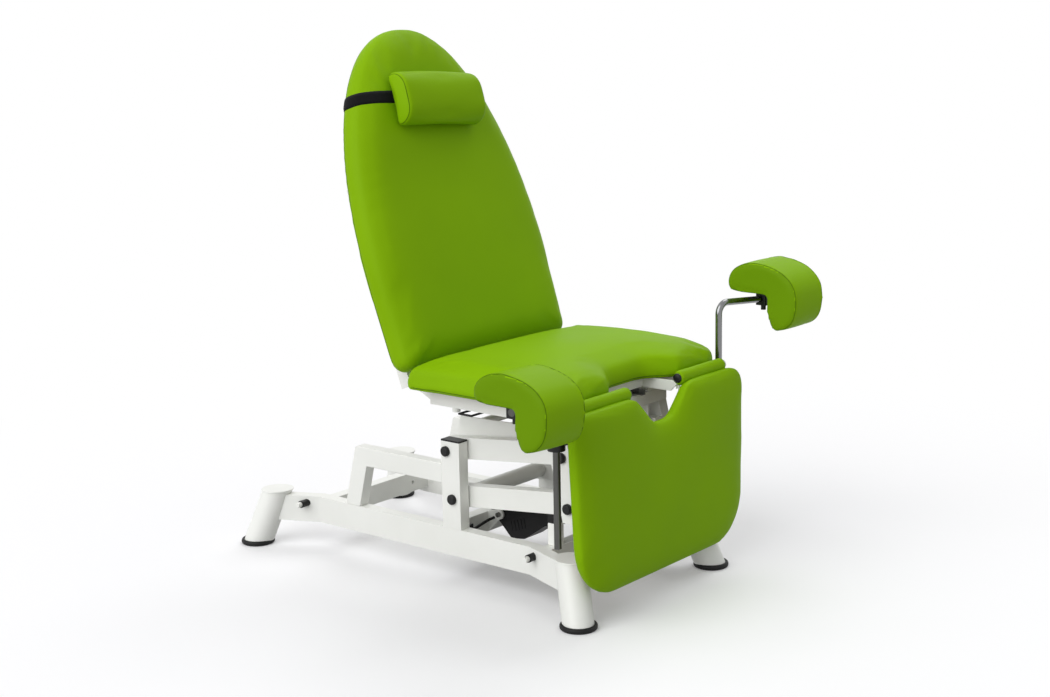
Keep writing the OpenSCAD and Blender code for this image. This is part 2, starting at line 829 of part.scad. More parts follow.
// A pair of lift arms, bored for their bushes at both pivots
module arm_pair(p) {
    both() difference() {
        across(arm_x0, arm_x1) arm_side(p, -arm_w / 2, arm_w / 2);
        for (q = [p, p + arm_l * arm_dir])
            cross_bar(q, arm_x0 - over, arm_x1 + over, bush_d + 2 * weld);
    }
}
module arm_bushes(p) {
    both() for (q = [p, p + arm_l * arm_dir]) difference() {
        cross_bar(q, arm_x0 + weld, arm_x1 + arm_gap / 2, bush_d);
        cross_bar(q, arm_x0 - over, arm_x1 + arm_gap, shaft_d + 2 * run_fit);
    }
}
module torsion_tube(p) {
    difference() {
        cross_bar(p, -arm_x0, arm_x0, torsion_d);
        cross_bar(p, -arm_x0 - over, arm_x0 + over, torsion_d - 2 * torsion_wall);
    }
}

module upper_arms() color(white_paint) at_origin() arm_pair(up_rear);
module upper_torsion_tube() color(white_paint) at_origin() {
    torsion_tube(up_rear);
    arm_bushes(up_rear);
}
module lower_arms() color(white_paint) at_origin() arm_pair(low_rear);
module lower_torsion_tubes() color(white_paint) at_origin() {
    torsion_tube(low_rear);
    torsion_tube(low_front);
    arm_bushes(low_rear);
}

// Two plates hang from the front torsion tube and hold the head of the actuator's rod
module actuator_fork() color(white_paint) at_origin() both() difference() {
    across(act_head_w / 2 + side_gap, act_head_w / 2 + side_gap + fork_t) {
        tube_r = torsion_d / 2 + fork_t;
        v = act_front - low_front;
        n = unit([-v.y, v.x]);
        translate(low_front) circle(tube_r, $fn = 48);
        translate(act_front) circle(fork_eye_r, $fn = 48);
        polygon([
            low_front + n * tube_r,
            act_front + n * fork_eye_r,
            act_front - n * fork_eye_r,
            low_front - n * tube_r
        ]);
    }
    cross_bar(low_front, 0, act_w, torsion_d + 2 * weld);
    cross_bar(act_front, 0, act_w, fork_hole_d);
}

// The actuator's own side view: [along it from its rear pivot, up]
module on_actuator() {
    translate([0, act_rear.x, act_rear.y])
        rotate([-act_rise, 0, 0])
        mirror([0, 1, 0])
        children();
}
pod_l = act_tube_l * 0.7;
pod_points = [
    [-act_eye_r, -act_eye_r],
    [act_tube_d * 0.4, -act_tube_d * 1.2],
    [act_tube_d * 1.2, -act_tube_d * 1.25],
    [pod_l * 0.75, -act_tube_d * 0.66],
    [pod_l, -act_tube_d * 0.66],
    [pod_l, act_tube_d / 2 + over],
    [-act_eye_r, act_eye_r]
];
pod_round_shares = [0.16, 0.24, 0.2, 0.08, 0.08];
pod_radii = [act_eye_r / 2, each act_tube_d * pod_round_shares, act_eye_r / 2];
module actuator_motor() color(black_plastic) at_origin() on_actuator() difference() {
    union() {
        across(-act_w / 2, act_w / 2) polygon(rounded(pod_points, pod_radii, 4));
        across(-act_tube_d / 2, act_tube_d / 2) translate([pod_l - over, -act_tube_d * 0.6])
            square([act_tube_d / 4, act_tube_d * 1.1]);
    }
    for (x = [-1, 1]) translate([x * act_w / 2, 0, 0]) pod_ribs();
    cross_bar([0, 0], -act_w, act_w, act_pin_d + 2 * run_fit);
    bar([0, pod_l / 2, 0], [0, 2 * pod_l, 0], act_tube_d + 2 * weld);
}
// Shallow grooves moulded in the sides of the motor housing
module pod_ribs() {
    for (k = [1 : 5]) translate([-over, pod_l * (0.1 + k * 0.06), -act_tube_d * (0.9 - 0.03 * k)])
        cube([2 * over, over * 2, act_tube_d * 0.5]);
}

module actuator_tube() color(steel) at_origin() on_actuator() difference() {
    bar([0, pod_l / 2, 0], [0, act_tube_l, 0], act_tube_d);
    bar([0, pod_l / 2 + over, 0], [0, act_tube_l + over, 0], act_rod_d + 2 * run_fit);
}

// The thrust rod, with its head and the pin in the fork
module actuator_rod() color(steel) at_origin() on_actuator() {
    head_r = act_rod_d / 2;
    bar([0, act_tube_l - act_rod_in, 0], [0, act_l - head_r / 2, 0], act_rod_d);
    cross_bar([act_l, 0], -act_head_w / 2, act_head_w / 2, 2 * head_r);
    pin_x = act_head_w / 2 + side_gap + fork_t + side_gap;
    cross_bar([act_l, 0], -pin_x, pin_x, act_pin_d);
}

// The front uprights stand between the pivots of the arms and the beam under the seat
module lift_uprights() color(white_paint) at_origin() both() difference() {
    half = post_w / 2 / cos(upright_lean);
    low_y = upright_mid.x + tan(upright_lean) * (upright_foot_z - upright_mid.y);
    across(rail_in, rail_out) polygon([
        [low_y - half, upright_foot_z],
        [low_y + half, upright_foot_z],
        [beam_y + half, beam_z],
        [beam_y - half, beam_z]
    ]);
    for (q = [up_front, low_front]) cross_bar(q, rail_in - over, rail_out + over, shaft_d + 2 * weld);
}

module lift_beam() color(white_paint) at_origin() {
    translate([-rail_out, beam_y - beam_w / 2, beam_z]) cube([2 * rail_out, beam_w, beam_h]);
    tie_x = plate_x - plate_t - weld;
    cross_bar([plate_rear_y - tie_d, plate_low_z + tie_d / 2 + plate_t], -tie_x, tie_x, tie_d);
}

// The side plates carry the rear of the seat's load to the beam
module lift_side_plates() color(white_paint) at_origin() both()
    across(plate_x - plate_t, plate_x) polygon(rounded([
        [plate_rear_y, plate_low_z],
        [plate_rear_y - plate_t * 2, plate_top_z],
        [beam_y + beam_w * 2.5, plate_top_z + plate_t],
        [beam_y + beam_w / 2, beam_z],
        [beam_y - beam_w / 2, beam_z],
        [beam_y - beam_w / 2, plate_low_z + tie_d],
        [beam_y + beam_w / 2, plate_low_z]
    ], [tie_d / 4, tie_d / 4, beam_w, 0, 0, tie_d / 2, beam_w / 2]));

module front_pivot_pins() color(steel) at_origin() both()
    for (q = [up_front, low_front]) cross_bar(q, arm_x0 + weld, rail_out, shaft_d);
module front_pivot_caps() color(black_plastic) at_origin() both() {
    pivot_cap(up_front);
    pivot_cap(low_front);
}

// Side tubes of the seat frame, with the eyes for the back, the leg panel and the rod clamps
module seat_side_tubes() color(white_paint) at_origin() both() difference() {
    inner = seat_tube_x - seat_tube_t;
    arm_h = seat_tube_h * 0.6;
    union() {
        translate([inner, seat_tube_front_y, seat_tube_z])
            cube([seat_tube_t, seat_tube_rear_y - seat_tube_front_y, seat_tube_h]);
        across(inner, inner + fork_t) {
            translate([back_y, back_z]) circle(back_foot - over, $fn = 48);
            polygon([
                [back_y, back_z - back_foot + over],
                [back_y, back_z],
                [seat_rear_y + side_gap, seat_z],
                [seat_tube_rear_y - seat_tube_h, seat_z],
                [seat_tube_rear_y - seat_tube_h, seat_tube_z],
                [seat_tube_rear_y + over, seat_tube_z]
            ]);
        }
        translate([inner, seat_tube_front_y - seat_tube_t, seat_z - over - arm_h])
            cube([max(rod_x, leg_bracket_x + plate_t) - inner, seat_tube_t + over, arm_h]);
        across(leg_bracket_x, leg_bracket_x + plate_t) leg_eye(seat_tube_front_y);
        translate([inner + seat_tube_t / 2, wire_y + wire_w, seat_tube_z - seat_tube_t / 2])
            cylinder(h = seat_tube_t / 2 + over, d = seat_tube_t - side_gap, $fn = 40);
    }
    cross_bar([back_y, back_z], inner - over, inner + fork_t + over, back_pin_d + 2 * run_fit);
    cross_bar([leg_y, leg_z], leg_bracket_x - over, leg_bracket_x + plate_t + over, hinge_rod_d + 2 * weld);
    translate([rod_x, rod_y, 0]) cylinder(h = seat_z, d = clamp_d + 2 * weld, $fn = 64);
}
leg_lug_t = side_gap * 2;
leg_bracket_x = roll_out_x + leg_lug_t + over;
leg_arm_x = roll_in_x - leg_lug_t - over - plate_t;

// An arm of the seat frame that reaches forward under the cushion to the leg panel's hinge
module leg_eye(from) {
    eye_r = hinge_rod_d;
    translate([leg_y, leg_z]) circle(eye_r, $fn = 40);
    polygon([
        [leg_y - eye_r, leg_z],
        [leg_y + eye_r, leg_z],
        [leg_y + eye_r, seat_z - over],
        [from, seat_z - over],
        [from, seat_z - over - seat_bar_h],
        [leg_y + 2 * eye_r, seat_z - over - seat_bar_h]
    ]);
}
back_pin_d = shaft_d * 0.75;

// Cross bars of the seat frame, the gas spring's bracket and the release lever's bearing
module seat_cross_bars() color(white_paint) at_origin() {
    inner = seat_tube_x - seat_tube_t - weld;
    for (y = [seat_tube_rear_y - seat_tube_t, beam_y + beam_w / 2 - seat_tube_t, beam_y - beam_w / 2])
        translate([-inner, y, seat_z - seat_bar_h]) cube([2 * inner, seat_tube_t, seat_bar_h]);
    for (y = [beam_y + beam_w / 2 - seat_tube_t, beam_y - beam_w / 2])
        both() translate([plate_x - plate_t, y, seat_tube_z])
            cube([2 * seat_tube_t, seat_tube_t, seat_tube_h - seat_bar_h - weld]);
    both() difference() {
        across(leg_arm_x, leg_arm_x + plate_t) leg_eye(beam_y - beam_w / 2 - weld);
        cross_bar([leg_y, leg_z], leg_arm_x - over, leg_arm_x + plate_t + over, hinge_rod_d + 2 * weld);
    }
    difference() {
        both() across(spring_d / 4 + run_fit, spring_d / 4 + fork_t) {
            translate([spring_y, spring_z]) circle(lever_eye_r, $fn = 40);
            polygon([
                [spring_y, spring_z - lever_eye_r],
                [spring_y, spring_z + lever_eye_r],
                [beam_y + beam_w / 2 - over, seat_z - seat_bar_h - weld],
                [beam_y + beam_w / 2 - over, seat_tube_z + weld],
                [beam_y + beam_w / 2 + weld, seat_tube_z + weld],
                [beam_y + beam_w / 2 + weld, spring_z - over]
            ]);
        }
        cross_bar([spring_y, spring_z], -seat_tube_t, seat_tube_t, spring_pin_d + 2 * weld);
    }
    cross_bar([spring_y, spring_z], -spring_d / 4 - fork_t - over, spring_d / 4 + fork_t + over, spring_pin_d);
    lever_bearing();
}

// Bearing of the release lever, on the inside of the right side tube
wire_x = seat_tube_x - wire_l + side_gap;
wire_z = seat_tube_z - seat_tube_t / 2;
module lever_bearing() mirror([1, 0, 0]) difference() {
    union() {
        translate([wire_x - wire_d, wire_y - wire_w / 2 + wire_d, seat_tube_z])
            cube([seat_tube_x - seat_tube_t - weld - wire_x + wire_d, wire_w - 2 * wire_d, wire_d]);
        for (y = [wire_y - wire_w / 2 + wire_d, wire_y + wire_w / 2 - 2 * wire_d])
            translate([wire_x - wire_d, y, wire_z - wire_d])
                cube([2 * wire_d, wire_d, seat_tube_z - wire_z + 2 * wire_d]);
    }
    translate([wire_x, wire_y + wire_w, wire_z]) rotate([90, 0, 0])
        cylinder(h = 2 * wire_w, d = wire_d + 2 * run_fit, $fn = 32);
}

// The release lever is one bent wire: its axle, two legs and the grip
module release_lever() color(black_plastic) at_origin() mirror([1, 0, 0]) {
    inner = wire_y + wire_w / 2;
    outer = wire_y - wire_w / 2;
    corners = [[wire_x, inner], [wire_x + wire_l, inner], [wire_x + wire_l, outer], [wire_x, outer]];
    for (k = [0 : 3]) {
        p = corners[k];
        q = corners[(k + 1) % 4];
        bar([p.x, p.y, wire_z], [q.x, q.y, wire_z], wire_d);
        translate([p.x, p.y, wire_z]) sphere(d = wire_d, $fn = 32);
    }
}

// The seat's outline, from above
seat_outline = rounded([
    [seat_w / 2, seat_front_y],
    [seat_w / 2, seat_rear_y],
    [-seat_w / 2, seat_rear_y],
    [-seat_w / 2, seat_front_y],
    [-cut_mouth / 2, seat_front_y],
    [-cut_back / 2, seat_front_y + cut_d],
    [cut_back / 2, seat_front_y + cut_d],
    [cut_mouth / 2, seat_front_y]
], [seat_front_r, seat_rear_r, seat_rear_r, seat_front_r, lobe_r, cut_r, cut_r, lobe_r], 6);
seat_middle = [0, seat_rear_y - seat_d * 0.45];

module board(outline, middle, inset, z, t) {
    translate([0, 0, z]) linear_extrude(t)
        polygon([for (p = ring(outline, middle, inset, 1, 0)) [p.x, p.y]]);
}

module seat_board() color(plywood) at_origin()
    board(seat_outline, seat_middle, board_in, seat_z, board_t);

// Upright sides drawn in at the foot, a rounded shoulder, then a crown that rises to the middle
crown_shares = [0.88, 0.7, 0.48, 0.24];
function crown_levels(t, side, shoulder, crown) = [
    [shoulder * 0.3, 1, 0],
    [0, 1, side * 0.4],
    [0, 1, side],
    for (a = [30 : 30 : 90]) [shoulder * (1 - cos(a)), 1, side + (t - crown - side) * sin(a)],
    for (s = crown_shares) [shoulder, s, t - crown * s * s]
];
function grown(levels, t, by) = [for (l = levels) [l[0] - by, l[1], l[2] * (t + 2 * by) / t - by]];
module seat_cushion() color(vinyl) at_origin() difference() {
    translate([0, 0, seat_z])
        upholstery(
            seat_outline, seat_middle,
            crown_levels(seat_t, seat_side_h, seat_edge_r, seat_crown),
            seat_t
        );
    board(seat_outline, seat_middle, board_in - air, seat_z - over, board_t + over + air);
}

// Two folded rails under the front cut-out carry a basin
module basin_rails() color(steel) at_origin() both() {
    lip = seat_bar_h / 2;
    wall = strap_t;
    top = seat_z - seat_bar_h - weld;
    front = seat_front_y + cut_d;
    translate([basin_x, front, top - wall]) cube([lip, basin_l, wall]);
    translate([basin_x, front, top - lip]) cube([wall, basin_l, lip]);
    translate([basin_x - lip, front, top - lip]) cube([lip + wall, basin_l, wall]);
}

module gas_spring_cylinder() color(black_plastic) at_origin() difference() {
    union() {
        bar([0, spring_y + lever_eye_r, spring_z], [0, spring_end_y, spring_z], spring_d);
        across(-spring_d / 4, spring_d / 4) translate([spring_y, spring_z - spring_d / 2])
            square([lever_eye_r + over, spring_d]);
        cross_bar([spring_y, spring_z], -spring_d / 4, spring_d / 4, spring_d);
    }
    cross_bar([spring_y, spring_z], -spring_d, spring_d, spring_pin_d + 2 * run_fit);
    bore_d = spring_rod_d + 2 * run_fit;
    bar([0, spring_y + 2 * lever_eye_r, spring_z], [0, spring_end_y + over, spring_z], bore_d);
}

module gas_spring_rod() color(steel) at_origin() {
    eye_w = spring_d / 2;
    inside = 2 * lever_r * sin(lever_angle) + 2 * lever_eye_r;
    bar([0, spring_end_y - inside / 2, spring_z], [0, lever_pin.x, spring_z], spring_rod_d);
    cross_bar([lever_pin.x, spring_z], -eye_w / 2, eye_w / 2, spring_d * 0.8);
    pin_x = eye_w / 2 + side_gap + fork_t + side_gap;
    cross_bar([lever_pin.x, spring_z], -pin_x, pin_x, spring_pin_d);
}

// The back's own frame: [across, up the back, towards the sitter], from its hinge
module on_back() {
    translate([0, back_y, back_z]) rotate([90 - back_lean, 0, 0]) children();
}

module back_side_tubes() color(white_paint) at_origin() on_back() both() difference() {
    lug = back_tube_w / 4;
    union() {
        translate([back_tube_x0, -shaft_d * 0.6, -back_rear - weld - back_tube_d])
            cube([back_tube_w, back_tube_l + shaft_d * 0.6, back_tube_d]);
        translate([back_tube_x1 - lug, 0, 0])
            rotate([0, 90, 0])
            cylinder(h = lug, d = 1.5 * shaft_d, $fn = 48);
        translate([back_tube_x1 - lug, -0.75 * shaft_d, -back_rear - weld - over])
            cube([lug, 1.5 * shaft_d, back_rear + over]);
    }
    translate([back_tube_x1 - lug - over, 0, 0]) rotate([0, 90, 0])
        cylinder(h = lug + 2 * over, d = back_pin_d + 2 * weld, $fn = 48);
}

// Cross tubes of the back frame, and the lever that the gas spring works
module back_cross_tubes() color(white_paint) at_origin() {
    on_back() for (s = [shaft_d, back_tube_l * 0.55, back_tube_l - 1.5 * back_tube_d])
        translate([-back_tube_x0 + weld, s, -back_rear - weld - back_tube_d])
            cube([2 * back_tube_x0 - 2 * weld, back_tube_d, back_tube_d]);
    both() difference() {
        across(spring_d / 4 + side_gap, spring_d / 4 + side_gap + fork_t) {
            tube = back_point(shaft_d, -back_rear - weld - back_tube_d);
            top = back_point(shaft_d, -back_rear - weld - over);
            v = unit(lever_pin - (tube + top) / 2);
            n = [-v.y, v.x];
            r = lever_hole_d / 2 + side_gap * 2;
            translate(lever_pin) circle(r, $fn = 48);
            polygon([
                top - [0, 2 * weld],
                tube - [0, 2 * weld],
                lever_pin + n * r,
                lever_pin - n * r
            ]);
        }
        cross_bar(lever_pin, 0, spring_d, lever_hole_d);
    }
    pin_x1 = seat_tube_x - seat_tube_t + fork_t + over;
    both() cross_bar([back_y, back_z], back_tube_x1 - back_tube_w / 4, pin_x1, back_pin_d);
}
// A point of the back's side view, as [along the chair, above the floor]
function back_point(up, front) = [
    back_y + up * sin(back_lean) - front * cos(back_lean),
    back_z + up * cos(back_lean) + front * sin(back_lean)
];

// The back's outline: straight sides, then a rounded top
back_half = seat_w / 2;
back_top_h = back_l - back_straight;
top_steps = 22;
back_outline = concat(
    arc(
        [-back_half, back_foot],
        [back_half - back_taper, back_foot],
        [back_half, back_foot + back_straight],
        back_corner_r, 5
    ),
    [for (i = [0 : top_steps])
        let (t = 180 * i / top_steps, power = 2 / back_round)
        [
            back_half * sign(cos(t)) * pow(abs(cos(t)), power),
            back_foot + back_straight + back_top_h * pow(abs(sin(t)), power)
        ]],
    arc(
        [-back_half, back_foot + back_straight],
        [-back_half + back_taper, back_foot],
        [back_half, back_foot],
        back_corner_r, 5
    )
);
back_middle = [0, back_foot + back_l * 0.45];

module back_board() color(plywood) at_origin() on_back()
    board(back_outline, back_middle, board_in, -back_rear, board_t);

// The back's upholstered form, also drawn larger for what goes round it
module back_form(by) {
    levels = crown_levels(back_t, back_side_h, back_edge_r, back_crown);
    translate([0, 0, -back_rear])
        upholstery(back_outline, back_middle, grown(levels, back_t, by), back_t + by);
}
module back_cushion() color(vinyl) at_origin() on_back() difference() {
    back_form(0);
    board(back_outline, back_middle, board_in - air, -back_rear - over, board_t + over + air);
}

// The head pillow: a D in section, with its end panels drawn in
strap_share = (pillow_at - strap_w / 2 - back_middle.y) / (back_foot + back_l - back_middle.y);
pillow_rear = back_front - back_crown * strap_share * strap_share + strap_t + 2 * air;
module head_pillow() color(vinyl) at_origin() on_back() {
    outline = rounded([
        [pillow_h / 2, 0],
        [pillow_h / 2, pillow_d],
        [-pillow_h / 2, pillow_d],
        [-pillow_h / 2, 0]
    ], [pillow_d * 0.2, pillow_d * 0.76, pillow_d * 0.76, pillow_d * 0.2], 8);
    inset = pillow_d * 0.08;
    translate([-pillow_l / 2, pillow_at, pillow_rear])
        rotate([90, 0, 90])
        upholstery(outline, [0, pillow_d / 2], [
            [inset * 2, 0.6, 0],
            [inset, 1, inset * 0.5],
            [inset * 0.3, 1, inset * 1.6],
            [0, 1, pillow_l * 0.5],
            [inset * 0.3, 1, pillow_l - inset * 1.6],
            [inset, 1, pillow_l - inset * 0.5],
            [inset * 2, 0.6, pillow_l]
        ], pillow_l);
}

// The strap holds the pillow: a band round the back at the pillow's middle
module pillow_strap() color(black_plastic) at_origin() on_back() intersection() {
    difference() {
        back_form(air + strap_t);
        back_form(air);
    }
    translate([-back_half, pillow_at - strap_w / 2, -back_t]) cube([2 * back_half, strap_w, 3 * back_t]);
}

// The leg panel's own frame: [across, up, forward], hanging at rest
leg_half = leg_w / 2;
leg_outline = rounded([
    [leg_half, leg_low_z],
    [leg_half, leg_top_z],
    [leg_mouth / 2, leg_top_z],
    [leg_cut_w / 2, leg_top_z - leg_cut_d],
    [-leg_cut_w / 2, leg_top_z - leg_cut_d],
    [-leg_mouth / 2, leg_top_z],
    [-leg_half, leg_top_z],
    [-leg_half, leg_low_z]
], [leg_low_r, leg_up_r, leg_lobe_r, leg_cut_r, leg_cut_r, leg_lobe_r, leg_up_r, leg_low_r], 6);
leg_middle = [0, leg_low_z + (leg_top_z - leg_low_z) * 0.45];

module on_leg() rotate([90, 0, 0]) children();
module leg_board() color(plywood) at_origin() on_leg()
    board(leg_outline, leg_middle, board_in, -leg_rear_y, leg_board_t);

module leg_cushion() color(vinyl) at_origin() on_leg() difference() {
    translate([0, 0, -leg_rear_y])
        upholstery(
            leg_outline, leg_middle,
            crown_levels(leg_t + leg_board_t, leg_side_h, leg_edge_r, leg_crown),
            leg_t + leg_board_t
        );
    board(leg_outline, leg_middle, board_in - air, -leg_rear_y - over, leg_board_t + over + air);
}

// Upholstered rolls round the hinge rods, above the panel
module leg_hinge_rolls() color(vinyl) at_origin() both() difference() {
    cross_bar([leg_y, leg_z], roll_in_x, roll_out_x, 2 * roll_r);
    cross_bar([leg_y, leg_z], roll_in_x - over, roll_out_x + over, hinge_rod_d + 2 * run_fit);
}

module leg_hinge_rods() color(steel) at_origin() both()
    cross_bar([leg_y, leg_z], leg_arm_x - over, leg_bracket_x + plate_t + over, hinge_rod_d);

// Straps behind the leg panel, with an eye on each end of the hinge rods
module leg_straps() color(white_paint) at_origin() both() {
    back = leg_rear_y + weld;
    for (x = [roll_in_x - leg_lug_t, roll_out_x]) difference() {
        across(x, x + leg_lug_t) {
            translate([leg_y, leg_z]) circle(hinge_rod_d, $fn = 40);
            polygon([
                [leg_y, leg_z],
                [leg_y - hinge_rod_d, leg_z],
                [leg_y - hinge_rod_d, leg_top_z + over / 2],
                [back, leg_top_z + over / 2],
                [back, leg_top_z - board_in],
                [back + hinge_rod_d, leg_top_z - board_in],
                [leg_y + hinge_rod_d, leg_z]
            ]);
        }
        cross_bar([leg_y, leg_z], x - over, x + leg_lug_t + over, hinge_rod_d + 2 * run_fit);
    }
    for (x = [roll_in_x, roll_out_x]) {
        w = 4 * leg_lug_t;
        away = x == roll_in_x ? -leg_lug_t : leg_lug_t - w;
        translate([x + away, back, leg_top_z - leg_strap_l]) cube([w, leg_lug_t, leg_strap_l - board_in]);
    }
}

// Everything of a knee support is drawn at +X; the right one is its mirror image
module rod_clamps() color(black_plastic) at_origin() both() difference() {
    union() {
        translate([rod_x, rod_y, clamp_z]) cylinder(h = clamp_h, d = clamp_d, $fn = 64);
        cross_bar([rod_y, knob_z], rod_x - clamp_d / 2 - side_gap, rod_x - rod_d / 2, knob_boss_d);
    }
    translate([rod_x, rod_y, clamp_z - over])
        cylinder(h = clamp_h + 2 * over, d = rod_bush_d + 2 * run_fit, $fn = 64);
    cross_bar([rod_y, knob_z], rod_x - clamp_d, rod_x, knob_screw_d + 2 * run_fit);
}
knob_z = clamp_z + clamp_h * 0.42;
knob_boss_d = clamp_d * 0.55;
knob_screw_d = rod_d / 2;

// A knob with six lobes, on the screw that holds the rod
module clamp_knob(right) color(black_plastic) at_origin() one_side(right) {
    head_x = rod_x - clamp_d / 2 - side_gap - air - knob_l;
    difference() {
        cross_bar([rod_y, knob_z], head_x, head_x + knob_l, knob_d);
        for (k = [0 : 5]) cross_bar(
            [rod_y + knob_d * 0.62 * cos(60 * k), knob_z + knob_d * 0.62 * sin(60 * k)],
            head_x - over, head_x + knob_l + over, knob_d * 0.36
        );
    }
    cross_bar([rod_y, knob_z], head_x + knob_l, rod_x - rod_bush_d / 2 - air, knob_screw_d);
}
module clamp_knob_right() clamp_knob(true);
module clamp_knob_left() clamp_knob(false);

// The bush turns in the clamp, and the rod slides in the bush
module rod_bush(right) color(black_plastic) at_origin() one_side(right)
    translate([rod_x, rod_y, 0]) difference() {
        union() {
            translate([0, 0, clamp_z + weld]) cylinder(h = clamp_h, d = rod_bush_d, $fn = 64);
            translate([0, 0, clamp_top + weld])
                cylinder(h = bush_wall, d = rod_bush_d + 2 * bush_wall, $fn = 64);
        }
        translate([0, 0, clamp_z - over])
            cylinder(h = clamp_h + 4 * bush_wall, d = rod_d + 2 * run_fit, $fn = 64);
    }
module rod_bush_right() rod_bush(true);
module rod_bush_left() rod_bush(false);

// The arm's own frame: [outward along the arm, forward, square to the arm], from the bend
module on_arm(bend_z) {
    translate([rod_x, rod_y, bend_z])
        rotate([0, 0, -rod_turn])
        rotate([0, rod_droop, 0])
        children();
}
stud_at = rod_arm / cos(rod_droop);
arm_end = stud_at + stud_clamp_w / 2 + side_gap;
// The bend ends where the arm droops, and the rod is swept through rings along its path
bend_angle = 90 + rod_droop;
bend_reach = rod_bend_r * tan(bend_angle / 2);
rod_sides = 32;
bend_steps = 12;
function rod_ring(p, turn) = [for (k = [0 : rod_sides - 1])
    let (a = 360 * k / rod_sides, out = rod_d / 2 * cos(a))
    [p.x + out * cos(turn), rod_d / 2 * sin(a), p.y + out * sin(turn)]];
module swept(rings) {
    n = len(rings[0]);
    m = len(rings);
    polyhedron([for (r = rings) each r], [
        [for (i = [n - 1 : -1 : 0]) i],
        for (j = [0 : m - 2], i = [0 : n - 1])
            [j * n + (i + 1) % n, (j + 1) * n + (i + 1) % n, (j + 1) * n + i, j * n + i],
        [for (i = [0 : n - 1]) (m - 1) * n + i]
    ]);
}
module support_rod(right, bend_z) color(steel) at_origin() one_side(right)
    translate([rod_x, rod_y, bend_z]) rotate([0, 0, -rod_turn])
    swept([
        rod_ring([0, -rod_l], 180),
        for (i = [0 : bend_steps])
            let (turn = 180 - bend_angle * i / bend_steps)
            rod_ring([rod_bend_r + rod_bend_r * cos(turn), rod_bend_r * sin(turn) - bend_reach], turn),
        rod_ring([arm_end * cos(rod_droop), -arm_end * sin(rod_droop)], 180 - bend_angle)
    ]);
module support_rod_right() support_rod(true, rod_right_z);
module support_rod_left() support_rod(false, rod_left_z);

// The clamp tilts on the arm, and its stud carries the pad
pad_plate_t = side_gap * 2;
module at_stud(bend_z) {
    on_arm(bend_z) translate([stud_at, 0, 0]) rotate([0, -rod_droop, 0]) rotate([0, 0, rod_turn]) children();
}
module arm_clamp(right, bend_z) color(black_plastic) at_origin() one_side(right) {
    low = stud_clamp_h / 2;
    difference() {
        at_stud(bend_z) translate([0, 0, -low]) linear_extrude(stud_clamp_h)
            polygon(rounded([
                [low, -low],
                [low, low],
                [-low, low],
                [-low, -low]
            ], [stud_d / 3, stud_d / 3, stud_d / 3, stud_d / 3], 3));
        on_arm(bend_z) translate([bend_reach, 0, 0]) rotate([0, 90, 0])
            cylinder(h = 2 * rod_arm, d = rod_d + 2 * run_fit, $fn = 48);
    }
    at_stud(bend_z) translate([0, 0, -low - stud_d]) cylinder(h = stud_d, d = stud_d, $fn = 40);
    at_stud(bend_z) translate([0, 0, low]) cylinder(h = pad_over - low - air, d = stud_d, $fn = 40);
}
module arm_clamp_right() arm_clamp(true, rod_right_z);
module arm_clamp_left() arm_clamp(false, rod_left_z);

module pad_plate(right, bend_z) color(steel) at_origin() one_side(right) at_stud(bend_z) difference() {
    union() {
        translate([-pad_w * 0.3, -pad_leg * 0.8, pad_over - air - pad_plate_t])
            cube([pad_w * 0.6, 1.5 * pad_leg, pad_plate_t]);
        translate([0, 0, stud_clamp_h / 2 + air])
            cylinder(h = pad_over - stud_clamp_h / 2 - 2 * air, d = 2 * stud_d, $fn = 48);
    }
    cylinder(h = pad_over + over, d = stud_d + 2 * run_fit, $fn = 40);
}
module pad_plate_right() pad_plate(true, rod_right_z);
module pad_plate_left() pad_plate(false, rod_left_z);

// A pad is its side view made solid across the arm, with its ends drawn in
module knee_pad(right, bend_z) color(vinyl) at_origin() one_side(right) at_stud(bend_z) {
    middle = [-pad_leg - (pad_front - pad_leg) * 0.5, pad_rise * 0.45];
    soft = side_gap * 3;
    translate([-pad_w / 2, 0, pad_over])
        rotate([90, 0, 90])
        upholstery(pad_outline, middle, [
            [soft * 0.8, 0.7, 0],
            [soft * 0.8, 1, soft * 0.15],
            [0, 1, soft],
            [soft * 0.5, 1, pad_w * 0.5],
            [0, 1, pad_w - soft],
            [soft * 0.8, 1, pad_w - soft * 0.15],
            [soft * 0.8, 0.7, pad_w]
        ], pad_w);
}
module knee_pad_right() knee_pad(true, rod_right_z);
module knee_pad_left() knee_pad(false, rod_left_z);

side_rails();
base_cross_tubes();
foot_tubes();
rubber_boots();
posts();
base_caps();
rear_braces();
stop_posts();
stop_buffers();
rail_pins();
rail_pin_sleeves();
base_pivot_shafts();
control_box();
motor_lead();
upper_arms();
upper_torsion_tube();
lower_arms();
lower_torsion_tubes();
actuator_fork();
actuator_motor();
actuator_tube();
actuator_rod();
lift_uprights();
lift_beam();
lift_side_plates();
front_pivot_pins();
front_pivot_caps();
seat_side_tubes();
seat_cross_bars();
seat_board();
seat_cushion();
basin_rails();
gas_spring_cylinder();
leg_hinge_rods();
rod_clamps();
release_lever();
gas_spring_rod();
back_side_tubes();
back_cross_tubes();
back_board();
back_cushion();
head_pillow();
pillow_strap();
leg_straps();
leg_board();
leg_cushion();
leg_hinge_rolls();
clamp_knob_right();
clamp_knob_left();
rod_bush_right();
rod_bush_left();
support_rod_right();
support_rod_left();
arm_clamp_right();
arm_clamp_left();
pad_plate_right();
pad_plate_left();
knee_pad_right();
knee_pad_left();
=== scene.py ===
"""An electric gynaecological chair: lime vinyl cushions on a white powder-coated steel frame.

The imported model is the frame, in metres. Places are written as the drawing has them, in millimetres
from the floor and the plane of symmetry, and spot() moves them into the model's frame.
"""
import json
import math

import bmesh
import bpy
from mathutils import Matrix, Vector, noise
from mathutils.bvhtree import BVHTree


